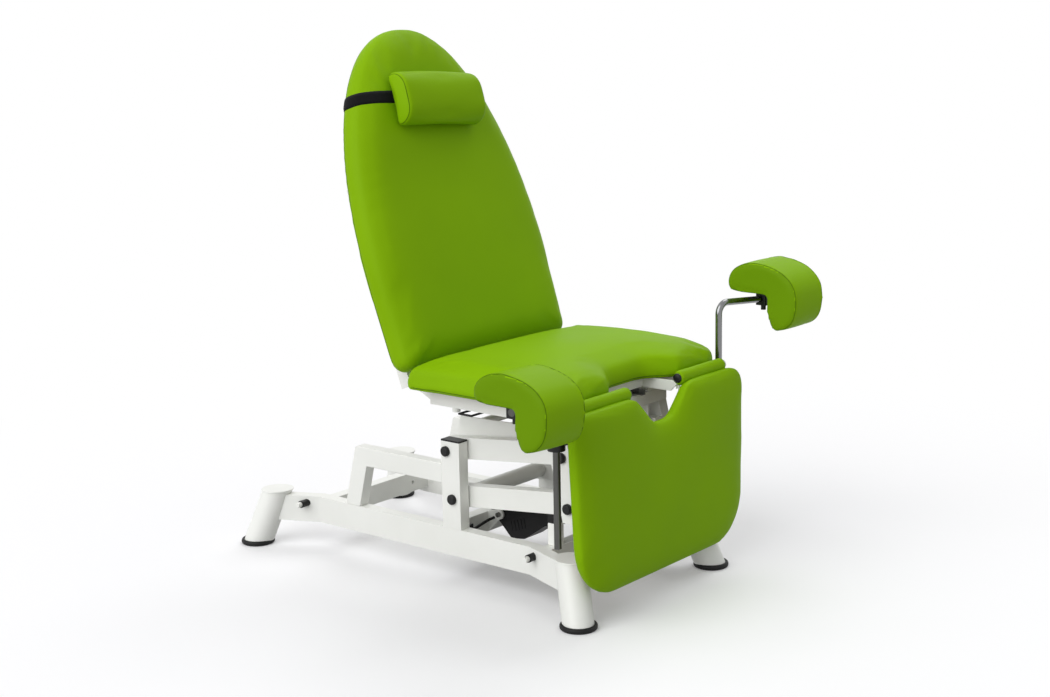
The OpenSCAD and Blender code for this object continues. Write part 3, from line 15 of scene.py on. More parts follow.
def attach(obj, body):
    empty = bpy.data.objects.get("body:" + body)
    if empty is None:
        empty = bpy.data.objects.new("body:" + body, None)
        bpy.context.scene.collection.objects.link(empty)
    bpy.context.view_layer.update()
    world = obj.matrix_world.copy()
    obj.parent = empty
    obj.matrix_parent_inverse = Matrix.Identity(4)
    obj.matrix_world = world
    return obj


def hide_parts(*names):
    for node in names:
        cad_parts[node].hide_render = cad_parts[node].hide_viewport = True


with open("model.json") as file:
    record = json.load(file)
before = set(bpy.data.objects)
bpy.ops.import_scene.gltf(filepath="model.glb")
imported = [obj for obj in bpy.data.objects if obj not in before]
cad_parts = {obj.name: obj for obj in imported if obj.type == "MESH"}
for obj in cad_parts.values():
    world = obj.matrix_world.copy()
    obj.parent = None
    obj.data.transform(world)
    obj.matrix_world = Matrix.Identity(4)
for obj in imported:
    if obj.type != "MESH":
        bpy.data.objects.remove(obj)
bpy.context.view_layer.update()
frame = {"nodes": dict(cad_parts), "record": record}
scene = bpy.context.scene

MM = 0.001
MIDDLE_Y = 30.7325  # the middle of the chair in the drawing's own places, in mm
SIDES = {"right": -1, "left": 1}  # the sitter's sides, and the sign of x there


def spot(x, y, z):
    """A point of the drawing, in mm, as a point of the model."""
    return Vector((x, y - MIDDLE_Y, z)) * MM


# Camera, at the photograph's angle

CAMERA_ANGLES = (-50.45, 11.54, -1.12)  # azimuth, elevation and roll, in degrees
CAMERA_AIM = spot(22.87, -70.32, 521.04)
CAMERA_DISTANCE = 3.98515  # metres
CAMERA_LENS = 58.63  # mm, on a sensor 36 mm wide


def place_camera():
    """The camera that the photograph was solved to have, from the feet, the rails and the posts."""
    azimuth, elevation, roll = (math.radians(a) for a in CAMERA_ANGLES)
    backward = Vector((
        math.sin(azimuth) * math.cos(elevation),
        -math.cos(azimuth) * math.cos(elevation),
        math.sin(elevation),
    ))
    level = Vector((math.cos(azimuth), math.sin(azimuth), 0))
    upward = backward.cross(level)
    right = math.cos(roll) * level + math.sin(roll) * upward
    up = -math.sin(roll) * level + math.cos(roll) * upward
    data = bpy.data.cameras.new("studio_camera")
    data.sensor_width = 36
    data.sensor_fit = "HORIZONTAL"
    data.lens = CAMERA_LENS
    data.clip_end = 60
    camera = bpy.data.objects.new("studio_camera", data)
    scene.collection.objects.link(camera)
    turn = Matrix((right, up, backward)).transposed().to_4x4()
    camera.matrix_world = Matrix.Translation(CAMERA_AIM + CAMERA_DISTANCE * backward) @ turn
    scene.camera = camera


place_camera()


# Materials

def linear(hex_colour, alpha=1.0):
    """An sRGB hex colour as the linear values that Blender's sockets hold."""
    channels = [int(hex_colour[i:i + 2], 16) / 255 for i in (1, 3, 5)]
    return [c / 12.92 if c <= 0.04045 else ((c + 0.055) / 1.055) ** 2.4 for c in channels] + [alpha]


def add(tree, kind, settings=None, feeds=None, stops=()):
    """Adds a node, sets its inputs or properties by name or number and its colour stops, given as
    (place, hex colour), and links what feeds it."""
    node = tree.nodes.new(kind)
    for name, value in (settings or {}).items():
        if isinstance(name, int) or name in node.inputs:
            node.inputs[name].default_value = value
        else:
            setattr(node, name, value)
    for name, socket in (feeds or {}).items():
        tree.links.new(socket, node.inputs[name])
    for i, (place, colour) in enumerate(stops):
        elements = node.color_ramp.elements
        element = elements[i] if i < len(elements) else elements.new(place)
        element.position = place
        element.color = linear(colour)
    return node


def blank_material(name, **values):
    """A material with its Principled shader's sockets set, and its node tree."""
    material = bpy.data.materials.new(name)
    material.use_nodes = True
    tree = material.node_tree
    shader = tree.nodes["Principled BSDF"]
    for socket, value in values.items():
        shader.inputs[socket.replace("_", " ")].default_value = value
    return material, tree, shader


def upholstery_vinyl(name, shade, light, grain_mm=1.6):
    """PVC-coated upholstery vinyl: a calendered film on a knitted back, embossed with a fine grain.
    The eye gets a clean, slightly waxy green with wide soft highlights and hardly any grain."""
    material, tree, shader = blank_material(name, Roughness=0.5, IOR=1.45, Specular_IOR_Level=0.05)
    place = add(tree, "ShaderNodeTexCoord").outputs["Object"]
    # Dye and coating thickness drift over a hand's width
    drift = add(tree, "ShaderNodeTexNoise", {"Scale": 4.0, "Detail": 2.0, "Roughness": 0.5},
                {"Vector": place})
    colour = add(tree, "ShaderNodeValToRGB", feeds={"Fac": drift.outputs["Fac"]},
                 stops=[(0.32, shade), (0.68, light)])
    tree.links.new(colour.outputs["Color"], shader.inputs["Base Color"])
    wear = add(tree, "ShaderNodeMapRange",
               {"From Min": 0.3, "From Max": 0.7, "To Min": 0.42, "To Max": 0.56},
               {"Value": drift.outputs["Fac"]})
    tree.links.new(wear.outputs["Result"], shader.inputs["Roughness"])
    # Pebbles of the embossed grain, drawn at grain_mm so that they still show in a close view
    pebbles = add(tree, "ShaderNodeTexVoronoi",
                  {"Scale": 1 / (grain_mm * MM), "feature": "DISTANCE_TO_EDGE"}, {"Vector": place})
    creases = add(tree, "ShaderNodeMapRange", {"From Min": 0.0, "From Max": 0.25},
                  {"Value": pebbles.outputs["Distance"]})
    fine = add(tree, "ShaderNodeBump", {"Strength": 0.12, "Distance": 0.0002},
               {"Height": creases.outputs["Result"]})
    # The foam under the cover is never quite even
    sway = add(tree, "ShaderNodeTexNoise", {"Scale": 11.0, "Detail": 2.0}, {"Vector": place})
    soft = add(tree, "ShaderNodeBump", {"Strength": 0.25, "Distance": 0.004},
               {"Height": sway.outputs["Fac"], "Normal": fine.outputs["Normal"]})
    tree.links.new(soft.outputs["Normal"], shader.inputs["Normal"])
    return material


def powder_coat():
    """White polyester powder coat, baked on welded steel tube: a warm white with a satin gloss and
    the faint orange peel of the powder."""
    material, tree, shader = blank_material("white_powder_coat", Roughness=0.36, IOR=1.5)
    place = add(tree, "ShaderNodeTexCoord").outputs["Object"]
    drift = add(tree, "ShaderNodeTexNoise", {"Scale": 5.0, "Detail": 4.0}, {"Vector": place})
    colour = add(tree, "ShaderNodeValToRGB", feeds={"Fac": drift.outputs["Fac"]},
                 stops=[(0.3, "#ECEDE8"), (0.7, "#F3F4F0")])
    tree.links.new(colour.outputs["Color"], shader.inputs["Base Color"])
    # Orange peel has waves 2 to 4 mm long
    peel = add(tree, "ShaderNodeTexNoise", {"Scale": 1 / (3.0 * MM), "Detail": 1.5},
               {"Vector": place})
    bump = add(tree, "ShaderNodeBump", {"Strength": 0.08, "Distance": 0.0003},
               {"Height": peel.outputs["Fac"]})
    tree.links.new(bump.outputs["Normal"], shader.inputs["Normal"])
    return material


def moulded_plastic(name, dark, pale, roughness, grain_mm, depth):
    """Moulded plastic or rubber: through-coloured black with the fine spark texture of its mould,
    which breaks the highlights into a soft grey sheen."""
    material, tree, shader = blank_material(name, Roughness=roughness, IOR=1.5,
                                            Specular_IOR_Level=0.3)
    place = add(tree, "ShaderNodeTexCoord").outputs["Object"]
    dust = add(tree, "ShaderNodeTexNoise", {"Scale": 30.0, "Detail": 5.0, "Roughness": 0.6},
               {"Vector": place})
    colour = add(tree, "ShaderNodeValToRGB", feeds={"Fac": dust.outputs["Fac"]},
                 stops=[(0.35, dark), (0.75, pale)])
    tree.links.new(colour.outputs["Color"], shader.inputs["Base Color"])
    spark = add(tree, "ShaderNodeTexNoise", {"Scale": 1 / (grain_mm * MM), "Detail": 2.0},
                {"Vector": place})
    bump = add(tree, "ShaderNodeBump", {"Strength": depth, "Distance": 0.0002},
               {"Height": spark.outputs["Fac"]})
    tree.links.new(bump.outputs["Normal"], shader.inputs["Normal"])
    return material


def metal(name, dark, pale, roughness, spread, stretch):
    """Steel with a plated or ground surface. Fine lines along the bar, close on the ground one and
    faint on the plated ones, draw the highlights out across it."""
    material, tree, shader = blank_material(name, Metallic=1.0, Roughness=roughness)
    place = add(tree, "ShaderNodeTexCoord").outputs["Object"]
    along = add(tree, "ShaderNodeMapping", {"Scale": stretch}, {"Vector": place})
    lines = add(tree, "ShaderNodeTexNoise", {"Scale": 1.0, "Detail": 5.0, "Roughness": 0.65},
                {"Vector": along.outputs["Vector"]})
    colour = add(tree, "ShaderNodeValToRGB", feeds={"Fac": lines.outputs["Fac"]},
                 stops=[(0.3, dark), (0.7, pale)])
    tree.links.new(colour.outputs["Color"], shader.inputs["Base Color"])
    worn = add(tree, "ShaderNodeMapRange",
               {"From Min": 0.3, "From Max": 0.7,
                "To Min": roughness - spread, "To Max": roughness + spread},
               {"Value": lines.outputs["Fac"]})
    tree.links.new(worn.outputs["Result"], shader.inputs["Roughness"])
    return material


def birch_plywood():
    """Birch plywood, rotary cut and sanded: pale tan with long, wandering grain lines."""
    material, tree, shader = blank_material("birch_plywood", Roughness=0.62, IOR=1.5)
    place = add(tree, "ShaderNodeTexCoord").outputs["Object"]
    # The grain runs across the chair, with lines about 6 mm apart
    along = add(tree, "ShaderNodeMapping", {"Scale": (8.0, 160.0, 160.0)}, {"Vector": place})
    grain = add(tree, "ShaderNodeTexNoise", {"Scale": 1.0, "Detail": 6.0, "Distortion": 0.8},
                {"Vector": along.outputs["Vector"]})
    colour = add(tree, "ShaderNodeValToRGB", feeds={"Fac": grain.outputs["Fac"]},
                 stops=[(0.3, "#8F8069"), (0.52, "#A79679"), (0.75, "#B9A98C")])
    tree.links.new(colour.outputs["Color"], shader.inputs["Base Color"])
    bump = add(tree, "ShaderNodeBump", {"Strength": 0.15, "Distance": 0.0003},
               {"Height": grain.outputs["Fac"]})
    tree.links.new(bump.outputs["Normal"], shader.inputs["Normal"])
    return material


def woven_elastic():
    """Woven elastic webbing: black polyester over rubber threads, so it shows close ribs along it
    and has no gloss. The ribs are 2 mm apart, twice the real ones, so that they show."""
    material, tree, shader = blank_material("woven_elastic", Roughness=0.9, IOR=1.5,
                                            Specular_IOR_Level=0.15, Sheen_Weight=0.05)
    place = add(tree, "ShaderNodeTexCoord").outputs["Object"]
    # A wave texture has its bands 2 pi / 20 apart at scale 1
    ribs = add(tree, "ShaderNodeTexWave",
               {"Scale": 2 * math.pi / (2.0 * MM) / 20, "bands_direction": "Z", "Distortion": 0.6},
               {"Vector": place})
    colour = add(tree, "ShaderNodeValToRGB", feeds={"Fac": ribs.outputs["Fac"]},
                 stops=[(0.0, "#060607"), (1.0, "#131416")])
    tree.links.new(colour.outputs["Color"], shader.inputs["Base Color"])
    bump = add(tree, "ShaderNodeBump", {"Strength": 0.5, "Distance": 0.0004},
               {"Height": ribs.outputs["Fac"]})
    tree.links.new(bump.outputs["Normal"], shader.inputs["Normal"])
    return material


lime_vinyl = upholstery_vinyl("lime_vinyl", "#82AF08", "#87B50B")
# A darker copy of the lime vinyl for the knee pads' end faces: painted shade
painted_shade_end_vinyl = upholstery_vinyl("end_panel_painted_shade", "#6B930A", "#6F970B")
# A darker copy of the lime vinyl for the welts: painted shade along the seams
welt_painted_shade_vinyl = upholstery_vinyl("welt_painted_shade_vinyl", "#4E7006", "#557908")
white_coat = powder_coat()
black_abs = moulded_plastic("black_abs", "#0B0B0C", "#161617", 0.45, 0.9, 0.25)
black_rubber = moulded_plastic("black_rubber", "#090909", "#141414", 0.6, 1.4, 0.3)
ground_steel = metal("ground_steel", "#6E6E6C", "#8F8F8C", 0.34, 0.08, (500.0, 500.0, 30.0))
chrome_plate = metal("chrome_plate", "#77787A", "#8B8C8D", 0.2, 0.04, (90.0, 90.0, 4.0))
# A darker, rougher copy of the chrome for the right rod: painted shade
chrome_painted_shade = metal("chrome_painted_shade", "#4F4F4D", "#666663", 0.3, 0.05, (90.0, 90.0, 4.0))
plywood = birch_plywood()
elastic = woven_elastic()

FINISH_OF_SLOT = {
    "white_paint": white_coat,
    "lime_vinyl": lime_vinyl,
    "black_plastic": black_abs,
    "rubber": black_rubber,
    "steel": ground_steel,
    "bright_steel": chrome_plate,
    "plywood": plywood,
    "strap_fabric": elastic,
}


# How far the real edges are rounded, in mm
EDGE_MM = {
    "rubber_boots": 3.0, "rail_pins": 0.8, "base_caps": 0.8, "front_pivot_caps": 0.6,
    "seat_board": 0.5, "back_board": 0.5, "leg_board": 0.5, "foot_tubes": 0.8,
    "leg_straps": 0.6, "basin_rails": 0.3, "rod_clamps": 1.0, "clamp_knob_right": 1.2,
    "clamp_knob_left": 1.2, "stop_buffers": 2.0, "actuator_motor": 1.5, "lift_side_plates": 0.8,
    "actuator_fork": 0.8, "seat_cross_bars": 0.8, "release_lever": 0.0, "control_box": 2.0,
}
WELDED_TUBE_MM = 2.0
OTHER_EDGE_MM = 0.4


def dress_cad_nodes():
    """Each CAD node keeps its shape, and gets its finish and the small rounding of its edges."""
    slots = {part["node"]: part["material_slot"] for part in frame["record"]["subparts"]}
    for name, node in frame["nodes"].items():
        slot = slots[name]
        finish = FINISH_OF_SLOT[slot]
        if not node.material_slots:
            node.data.materials.append(finish)
        for material_slot in node.material_slots:
            material_slot.link = "OBJECT"
            material_slot.material = finish
        width = EDGE_MM.get(name, WELDED_TUBE_MM if slot == "white_paint" else OTHER_EDGE_MM)
        if width > 0 and slot != "lime_vinyl":
            # A flat face's triangles become one face first, so that only real edges are rounded
            weld = node.modifiers.new("joined_faces", "WELD")
            weld.merge_threshold = 0.00001
            flat = node.modifiers.new("one_face_per_plane", "DECIMATE")
            flat.decimate_type = "DISSOLVE"
            flat.angle_limit = math.radians(1)
            edge = node.modifiers.new("rounded_edges", "BEVEL")
            edge.width = width * MM
            edge.segments = 3
            edge.limit_method = "ANGLE"
            edge.angle_limit = math.radians(40)
            edge.use_clamp_overlap = True
            shading = node.modifiers.new("flat_faces_stay_flat", "WEIGHTED_NORMAL")
            shading.mode = "FACE_AREA"
            shading.weight = 50


dress_cad_nodes()


# Outlines, as lists of (across, along) in mm

def corner(a, b, c, radius, steps):
    """The arc that rounds the corner b between a and c."""
    a, b, c = Vector(a), Vector(b), Vector(c)
    u, v = (a - b).normalized(), (c - b).normalized()
    half = math.acos(max(-1.0, min(1.0, u.dot(v)))) / 2
    middle = b + (u + v).normalized() * radius / math.sin(half)
    start = b + u * radius / math.tan(half) - middle
    end = b + v * radius / math.tan(half) - middle
    first = math.atan2(start.y, start.x)
    sweep = (math.atan2(end.y, end.x) - first + 3 * math.pi) % (2 * math.pi) - math.pi
    angles = [first + sweep * i / steps for i in range(steps + 1)]
    return [middle + radius * Vector((math.cos(a), math.sin(a))) for a in angles]


def rounded(points, radii, steps=12):
    """An outline with each corner rounded by its own radius."""
    count = len(points)
    outline = []
    for i, point in enumerate(points):
        outline += corner(points[i - 1], point, points[(i + 1) % count], radii[i], steps)
    return outline


def evened(outline, step):
    """The same closed outline with points a fixed step apart."""
    closed = outline + [outline[0]]
    lengths = [(q - p).length for p, q in zip(closed, closed[1:])]
    total = sum(lengths)
    count = max(12, round(total / step))
    result, i, passed = [], 0, 0.0
    for k in range(count):
        target = total * k / count
        while passed + lengths[i] < target:
            passed += lengths[i]
            i += 1
        result.append(closed[i].lerp(closed[i + 1], (target - passed) / lengths[i]))
    return result


def drawn_in(outline, inset):
    """The outline moved inward, square to itself."""
    count = len(outline)
    moved = []
    for i, point in enumerate(outline):
        a = (point - outline[i - 1]).normalized()
        b = (outline[(i + 1) % count] - point).normalized()
        n = Vector((-a.y - b.y, a.x + b.x)).normalized()
        moved.append(point + n * inset / max(n.dot(Vector((-a.y, a.x))), 0.5))
    return moved


# Sizes of the upholstery: its height t, how far its foot rounds, how high its side stands before it
# turns in, how far the edge turns in, and how far and how steeply the crown falls towards the edge.
# low lists the corners that taper off, as (place, drop, how far it spreads).
SEAT = {
    "t": 77, "foot_r": 5, "side": 14, "edge": 30, "crown": 12, "power": 2.6,
    "low": [((312, 3), 8, 130), ((-312, 3), 4, 90),
            ((311, -436), 16, 120), ((-311, -436), 10, 100)],
}
seat_outline = rounded(
    [(311, -436), (312, 3), (-317, 9), (-311, -436),
     (-132, -436), (-62, -378), (62, -378), (132, -436)],
    [62, 24, 20, 62, 34, 60, 60, 34])
LEG = {"t": 44, "foot_r": 18, "side": 21, "edge": 19, "crown": 5, "power": 2.5}
leg_outline = rounded(
    [(306, 73), (322, 481), (100, 481), (33, 413),
     (-33, 413), (-100, 481), (-322, 481), (-306, 73)],
    [118, 46, 34, 50, 50, 34, 46, 118])
BACK = {"t": 82, "foot_r": 18, "side": 24, "edge": 44, "crown": 8, "power": 2.5}


def back_outline_points():
    """The back's outline: nearly straight sides that widen upward, then a bow like half an egg."""
    half, taper, foot, straight, length = 304, 9, 14, 227, 807
    roundness = 2.1  # 2 would be half an ellipse
    shoulder = foot + straight
    top = length - straight
    power = 2 / roundness
    right = corner((-half, foot), (half - taper, foot), (half, shoulder), 36, 12)
    left = corner((-half, shoulder), (-half + taper, foot), (half, foot), 36, 12)
    bow = []
    steps = 80
    for i in range(steps + 1):
        t = math.pi * i / steps
        x = half * math.copysign(abs(math.cos(t)) ** power, math.cos(t))
        bow.append(Vector((x, shoulder + top * math.sin(t) ** power)))
    return right + bow + left


back_outline = back_outline_points()


# Upholstery

def link(name, mesh, body, slot, *finishes):
    """Puts a mesh into the scene as a piece with its finish, riding on its body."""
    piece = bpy.data.objects.new(name, mesh)
    scene.collection.objects.link(piece)
    for finish in finishes:
        mesh.materials.append(finish)
    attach(piece, body)
    return piece


def smooth(mesh):
    mesh.polygons.foreach_set("use_smooth", [True] * len(mesh.polygons))
    mesh.update()


def lofted(rings, low_middle, high_middle):
    """A closed mesh through rings of equal count, fanned shut at both ends."""
    mesh = bpy.data.meshes.new("loft")
    count = len(rings[0])
    points = [p for ring in rings for p in ring] + [low_middle, high_middle]
    low, high = len(points) - 2, len(points) - 1
    faces = []
    for j in range(len(rings) - 1):
        for i in range(count):
            k = (i + 1) % count
            faces.append((j * count + i, j * count + k, (j + 1) * count + k, (j + 1) * count + i))
    last_ring = (len(rings) - 1) * count
    for i in range(count):
        k = (i + 1) % count
        faces.append((low, k, i))
        faces.append((high, last_ring + i, last_ring + k))
    mesh.from_pydata(points, [], faces)
    mesh.update()
    return mesh


def softened(piece):
    """One level of subdivision, so that the skin's quads don't show."""
    finer = piece.modifiers.new("soft", "SUBSURF")
    finer.levels = finer.render_levels = 1


def drawn_through(name, kind, points, radius, finish, body, sides, capped, settings):
    """A cord or bar of round section along the points, which are in the model's frame. It gets all
    its settings before it rides."""
    data = bpy.data.curves.new(name, "CURVE")
    data.dimensions = "3D"
    data.bevel_depth = radius
    data.bevel_resolution = sides
    data.use_fill_caps = capped
    spline = data.splines.new(kind)
    spline.points.add(len(points) - 1)
    for knot, point in zip(spline.points, points):
        knot.co = (*point, 1)
    for setting, value in settings.items():
        setattr(spline, setting, value)
    piece = bpy.data.objects.new(name, data)
    scene.collection.objects.link(piece)
    data.materials.append(finish)
    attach(piece, body)
    return piece


def remeshed(mesh, voxel):
    """The mesh in even quads, so that cloth can move it alike everywhere."""
    scratch = bpy.data.objects.new("scratch", mesh)
    scene.collection.objects.link(scratch)
    cut = scratch.modifiers.new("even_quads", "REMESH")
    cut.mode = "VOXEL"
    cut.voxel_size = voxel
    graph = bpy.context.evaluated_depsgraph_get()
    result = bpy.data.meshes.new_from_object(scratch.evaluated_get(graph), depsgraph=graph)
    bpy.data.objects.remove(scratch)
    return result


SETTLING_FRAMES = 20


def cover(mesh, stapled, cap, pressure=4.0):
    """Lets the cover settle over its foam: Cloth with pressure, held where it is stapled, and no
    point further than cap from where it was cut."""
    scratch = bpy.data.objects.new("scratch", mesh)
    scene.collection.objects.link(scratch)
    cut = [v.co.copy() for v in mesh.vertices]
    group = scratch.vertex_groups.new(name="stapled")
    group.add([v.index for v in mesh.vertices if stapled(v.co)], 1.0, "REPLACE")
    cloth = scratch.modifiers.new("cover", "CLOTH")
    settings = cloth.settings
    settings.quality = 5
    settings.mass = 0.4
    settings.tension_stiffness = settings.compression_stiffness = 30
    settings.shear_stiffness = 12
    settings.bending_stiffness = 2.0
    settings.use_pressure = True
    settings.uniform_pressure_force = pressure
    settings.vertex_group_mass = "stapled"
    settings.effector_weights.gravity = 0
    cloth.collision_settings.use_collision = False
    cloth.point_cache.frame_start = 1
    cloth.point_cache.frame_end = SETTLING_FRAMES
    for step in range(1, SETTLING_FRAMES + 1):
        scene.frame_set(step)
    graph = bpy.context.evaluated_depsgraph_get()
    settled = [v.co.copy() for v in scratch.evaluated_get(graph).data.vertices]
    scene.frame_set(1)
    bpy.data.objects.remove(scratch)
    for vertex, was, now in zip(mesh.vertices, cut, settled):
        move = now - was
        if move.length > cap:
            move *= cap / move.length
        vertex.co = was + move
    return mesh


def relaxed(mesh, rounds, keep=lambda co: False):
    """Evens the skin out after the voxels, and leaves alone what keep() names."""
    shape = bmesh.new()
    shape.from_mesh(mesh)
    loose = [v for v in shape.verts if not keep(v.co)]
    for _ in range(rounds):
        bmesh.ops.smooth_vert(shape, verts=loose, factor=0.5,
                              use_axis_x=True, use_axis_y=True, use_axis_z=True)
    shape.to_mesh(mesh)
    shape.free()
    return mesh


def eased_crown(mesh, above, rounds=60):
    """Evens the height of the upper side only, so that no crease runs from a cut-out's corners."""
    shape = bmesh.new()
    shape.from_mesh(mesh)
    shape.normal_update()
    loose = [v for v in shape.verts if v.co.z > above and v.normal.z > 0.55]
    for _ in range(rounds):
        bmesh.ops.smooth_vert(shape, verts=loose, factor=0.5,
                              use_axis_x=False, use_axis_y=False, use_axis_z=True)
    shape.to_mesh(mesh)
    shape.free()
    return mesh


def surface_of(mesh):
    """The mesh as a tree that can be asked for its nearest point, or for where a ray meets it."""
    return BVHTree.FromPolygons([v.co.copy() for v in mesh.vertices],
                                [tuple(p.vertices) for p in mesh.polygons])


WELT_RADIUS = 0.0011
WELT_SUNK = 0.0004


def seam_line(name, mesh, points, body, placement):
    """A welt along a closed seam: a thin cord of vinyl, sewn in where two panels meet, in a darker
    vinyl that paints the seam's shade.
    """
    tree = surface_of(mesh)
    on_skin = []
    for point in points:
        found, normal, _, _ = tree.find_nearest(point)
        on_skin.append(found - normal * WELT_SUNK)
    for _ in range(3):
        on_skin = [(on_skin[i - 1] + point * 2 + on_skin[(i + 1) % len(on_skin)]) / 4
                   for i, point in enumerate(on_skin)]
    drawn_through(name, "POLY", [placement @ point for point in on_skin], WELT_RADIUS, welt_painted_shade_vinyl,
                  body, 3, False, {"use_cyclic_u": True})


def cushion_rings(outline, middle, size, swell, step=9):
    """Rings from the stapled underside round the foot, up the sides and over the crown, in metres.
    They start a little small, because the cover swells by the same amount when it settles."""
    t, foot_r, side, edge, crown = (size[k] for k in ("t", "foot_r", "side", "edge", "crown"))
    levels = []
    for degrees in range(0, 91, 18):
        a = math.radians(degrees)
        levels.append((foot_r * (1 - math.sin(a)), 1, foot_r * (1 - math.cos(a))))
    for degrees in range(0, 91, 10):
        a = math.radians(degrees)
        levels.append((edge * (1 - math.cos(a)), 1, side + (t - crown - side) * math.sin(a)))
    levels += [(edge, share, t - crown * share ** size["power"])
               for share in (0.96, 0.9, 0.8, 0.7, 0.6, 0.5, 0.4, 0.3, 0.2, 0.1)]
    even = evened(outline, step)

    def low_corners(p):
        """How much of its height the cushion keeps near the corners that taper off."""
        return 1 - sum(drop / t * math.exp(-((p - Vector(place)).length / spread) ** 2)
                       for place, drop, spread in size.get("low", ()))

    rings = []
    middle = Vector(middle)
    for inset, share, height in levels:
        ring = [middle + (p - middle) * share for p in drawn_in(even, inset + swell)]
        rings.append([Vector((p.x, p.y, height * (1 - swell / t) * low_corners(p))) * MM
                      for p in ring])
    return rings, even


STAPLED_HEIGHT = 3 * MM


def upholstered(name, node, body, outline, middle, size, placement, board_in,
                voxel=0.007, cap=0.004):
    """A cushion on its board: cut, covered and stapled, with the board's face left open below."""
    rings, even = cushion_rings(outline, middle, size, cap / MM * 0.75)
    low = Vector((*middle, 0)) * MM
    high = Vector((*middle, size["t"])) * MM

    def stapled(co):
        return co.z < STAPLED_HEIGHT

    mesh = remeshed(lofted(rings, low, high), voxel)
    mesh = relaxed(mesh, 3, keep=stapled)
    mesh = eased_crown(mesh, size["t"] * 0.5 * MM)
    mesh = cover(mesh, stapled, cap)
    mesh = relaxed(mesh, 2, keep=stapled)
    opened = drawn_in(even, board_in)
    shape = bmesh.new()
    shape.from_mesh(mesh)
    hidden = []
    for face in shape.faces:
        centre = face.calc_center_median()
        if face.normal.z < -0.8 and stapled(centre) and inside(centre / MM, opened):
            hidden.append(face)
    bmesh.ops.delete(shape, geom=hidden, context="FACES")
    shape.to_mesh(mesh)
    shape.free()
    skin = mesh.copy()
    mesh.transform(placement)
    smooth(mesh)
    piece = link(name, mesh, body, "lime_vinyl", lime_vinyl)
    softened(piece)
    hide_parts(node)
    return skin, even


def inside(point, outline):
    """Whether a point lies inside an outline."""
    hit = False
    count = len(outline)
    for i in range(count):
        a, b = outline[i - 1], outline[i]
        if (a.y > point.y) != (b.y > point.y):
            crossing = (b.x - a.x) * (point.y - a.y) / (b.y - a.y) + a.x
            if point.x < crossing:
                hit = not hit
    return hit


# Where the upholstery sits, each in its own plane: across, along and up from its board
BACK_LEAN = 18.9  # degrees from upright
LEG_LEAN = 1.2  # degrees forward of plumb, swung on its hinge rods
HINGE_Y, HINGE_Z = -450, 485  # the leg panel's hinge rods
BOARD_Z, FOAM_Z = -22, -18  # of the back, from its own plane

on_seat = Matrix.Translation(spot(0, 0, 478))
on_back = (Matrix.Translation(spot(0, 35, 480))
           @ Matrix.Rotation(math.radians(90 - BACK_LEAN), 4, "X"))
on_leg = (Matrix.Translation(spot(0, HINGE_Y, HINGE_Z))
          @ Matrix.Rotation(math.radians(90 - LEG_LEAN), 4, "X")
          @ Matrix.Translation(Vector((0, -HINGE_Z, 0)) * MM))
on_back_rear = on_back @ Matrix.Translation((0, 0, BOARD_Z * MM))
on_back_foam = on_back @ Matrix.Translation((0, 0, FOAM_Z * MM))
on_leg_rear = on_leg @ Matrix.Translation((0, 0, -1 * MM))

seat_skin, seat_even = upholstered(
    "seat_upholstery", "seat_cushion", "lift_frame", seat_outline, (0, -198.5), SEAT, on_seat, 13)
back_skin, back_even = upholstered(
    "back_upholstery", "back_cushion", "back", back_outline, (0, 369.5), BACK, on_back_foam, 24)
upholstered(
    "leg_upholstery", "leg_cushion", "leg", leg_outline, (0, 253.3), LEG, on_leg, 16,
    voxel=0.006, cap=0.001)

# A welt runs round the foot of the back and the seat, where the front panel meets the stapled band
seam_line("back_welt", back_skin, [Vector((*p, 6)) * MM for p in drawn_in(back_even, 4)],
          "back", on_back_foam)
seam_line("seat_welt", seat_skin, [Vector((*p, 5)) * MM for p in drawn_in(seat_even, 0.5)],
          "lift_frame", on_seat)


def backing_board(name, node, body, outline, inset, thickness, placement):
    """A plywood board behind a cushion, with its arrises sanded off."""
    arris = 1.2
    edge = drawn_in(evened(outline, 9), inset)
    inner = drawn_in(edge, arris)
    count = len(edge)
    points = [Vector((*p, z)) * MM
              for ring, z in ((inner, 0), (edge, arris), (edge, thickness)) for p in ring]
    faces = [tuple(range(count - 1, -1, -1)), tuple(range(2 * count, 3 * count))]
    for j in range(2):
        for i in range(count):
            k = (i + 1) % count
            faces.append((j * count + i, j * count + k, (j + 1) * count + k, (j + 1) * count + i))
    mesh = bpy.data.meshes.new(name)
    mesh.from_pydata(points, [], faces)
    mesh.transform(placement)
    mesh.update()
    piece = link(name, mesh, body, "plywood", plywood)
    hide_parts(node)


backing_board("back_panel", "back_board", "back", back_outline, 21, 9, on_back_rear)
backing_board("leg_panel_board", "leg_board", "leg", leg_outline, 22, 6, on_leg_rear)


# Head pillow, knee pads and hinge rolls

# A profile's axes are along and up, and its slices run across the chair
PROFILE_ACROSS = Matrix(((0, 0, 1, 0), (1, 0, 0, 0), (0, 1, 0, 0), (0, 0, 0, 1)))


def pillow_form(profile, levels, voxel, cap, stapled=lambda co: False):
    """A pad with a drawn profile, in slices of (place across, inset, share of its size left)."""
    even = evened(profile, 6)
    centre = sum(even, Vector((0, 0))) / len(even)
    rings = []
    for across, inset, share in levels:
        ring = drawn_in(even, inset) if inset else even
        rings.append([Vector((centre.x + (p.x - centre.x) * share,
                              centre.y + (p.y - centre.y) * share, across)) * MM for p in ring])
    low = Vector((centre.x, centre.y, levels[0][0])) * MM
    high = Vector((centre.x, centre.y, levels[-1][0])) * MM
    mesh = remeshed(lofted(rings, low, high), voxel)
    mesh = relaxed(mesh, 3, keep=stapled)
    mesh = cover(mesh, stapled, cap, pressure=3.0)
    return relaxed(mesh, 2, keep=stapled), even


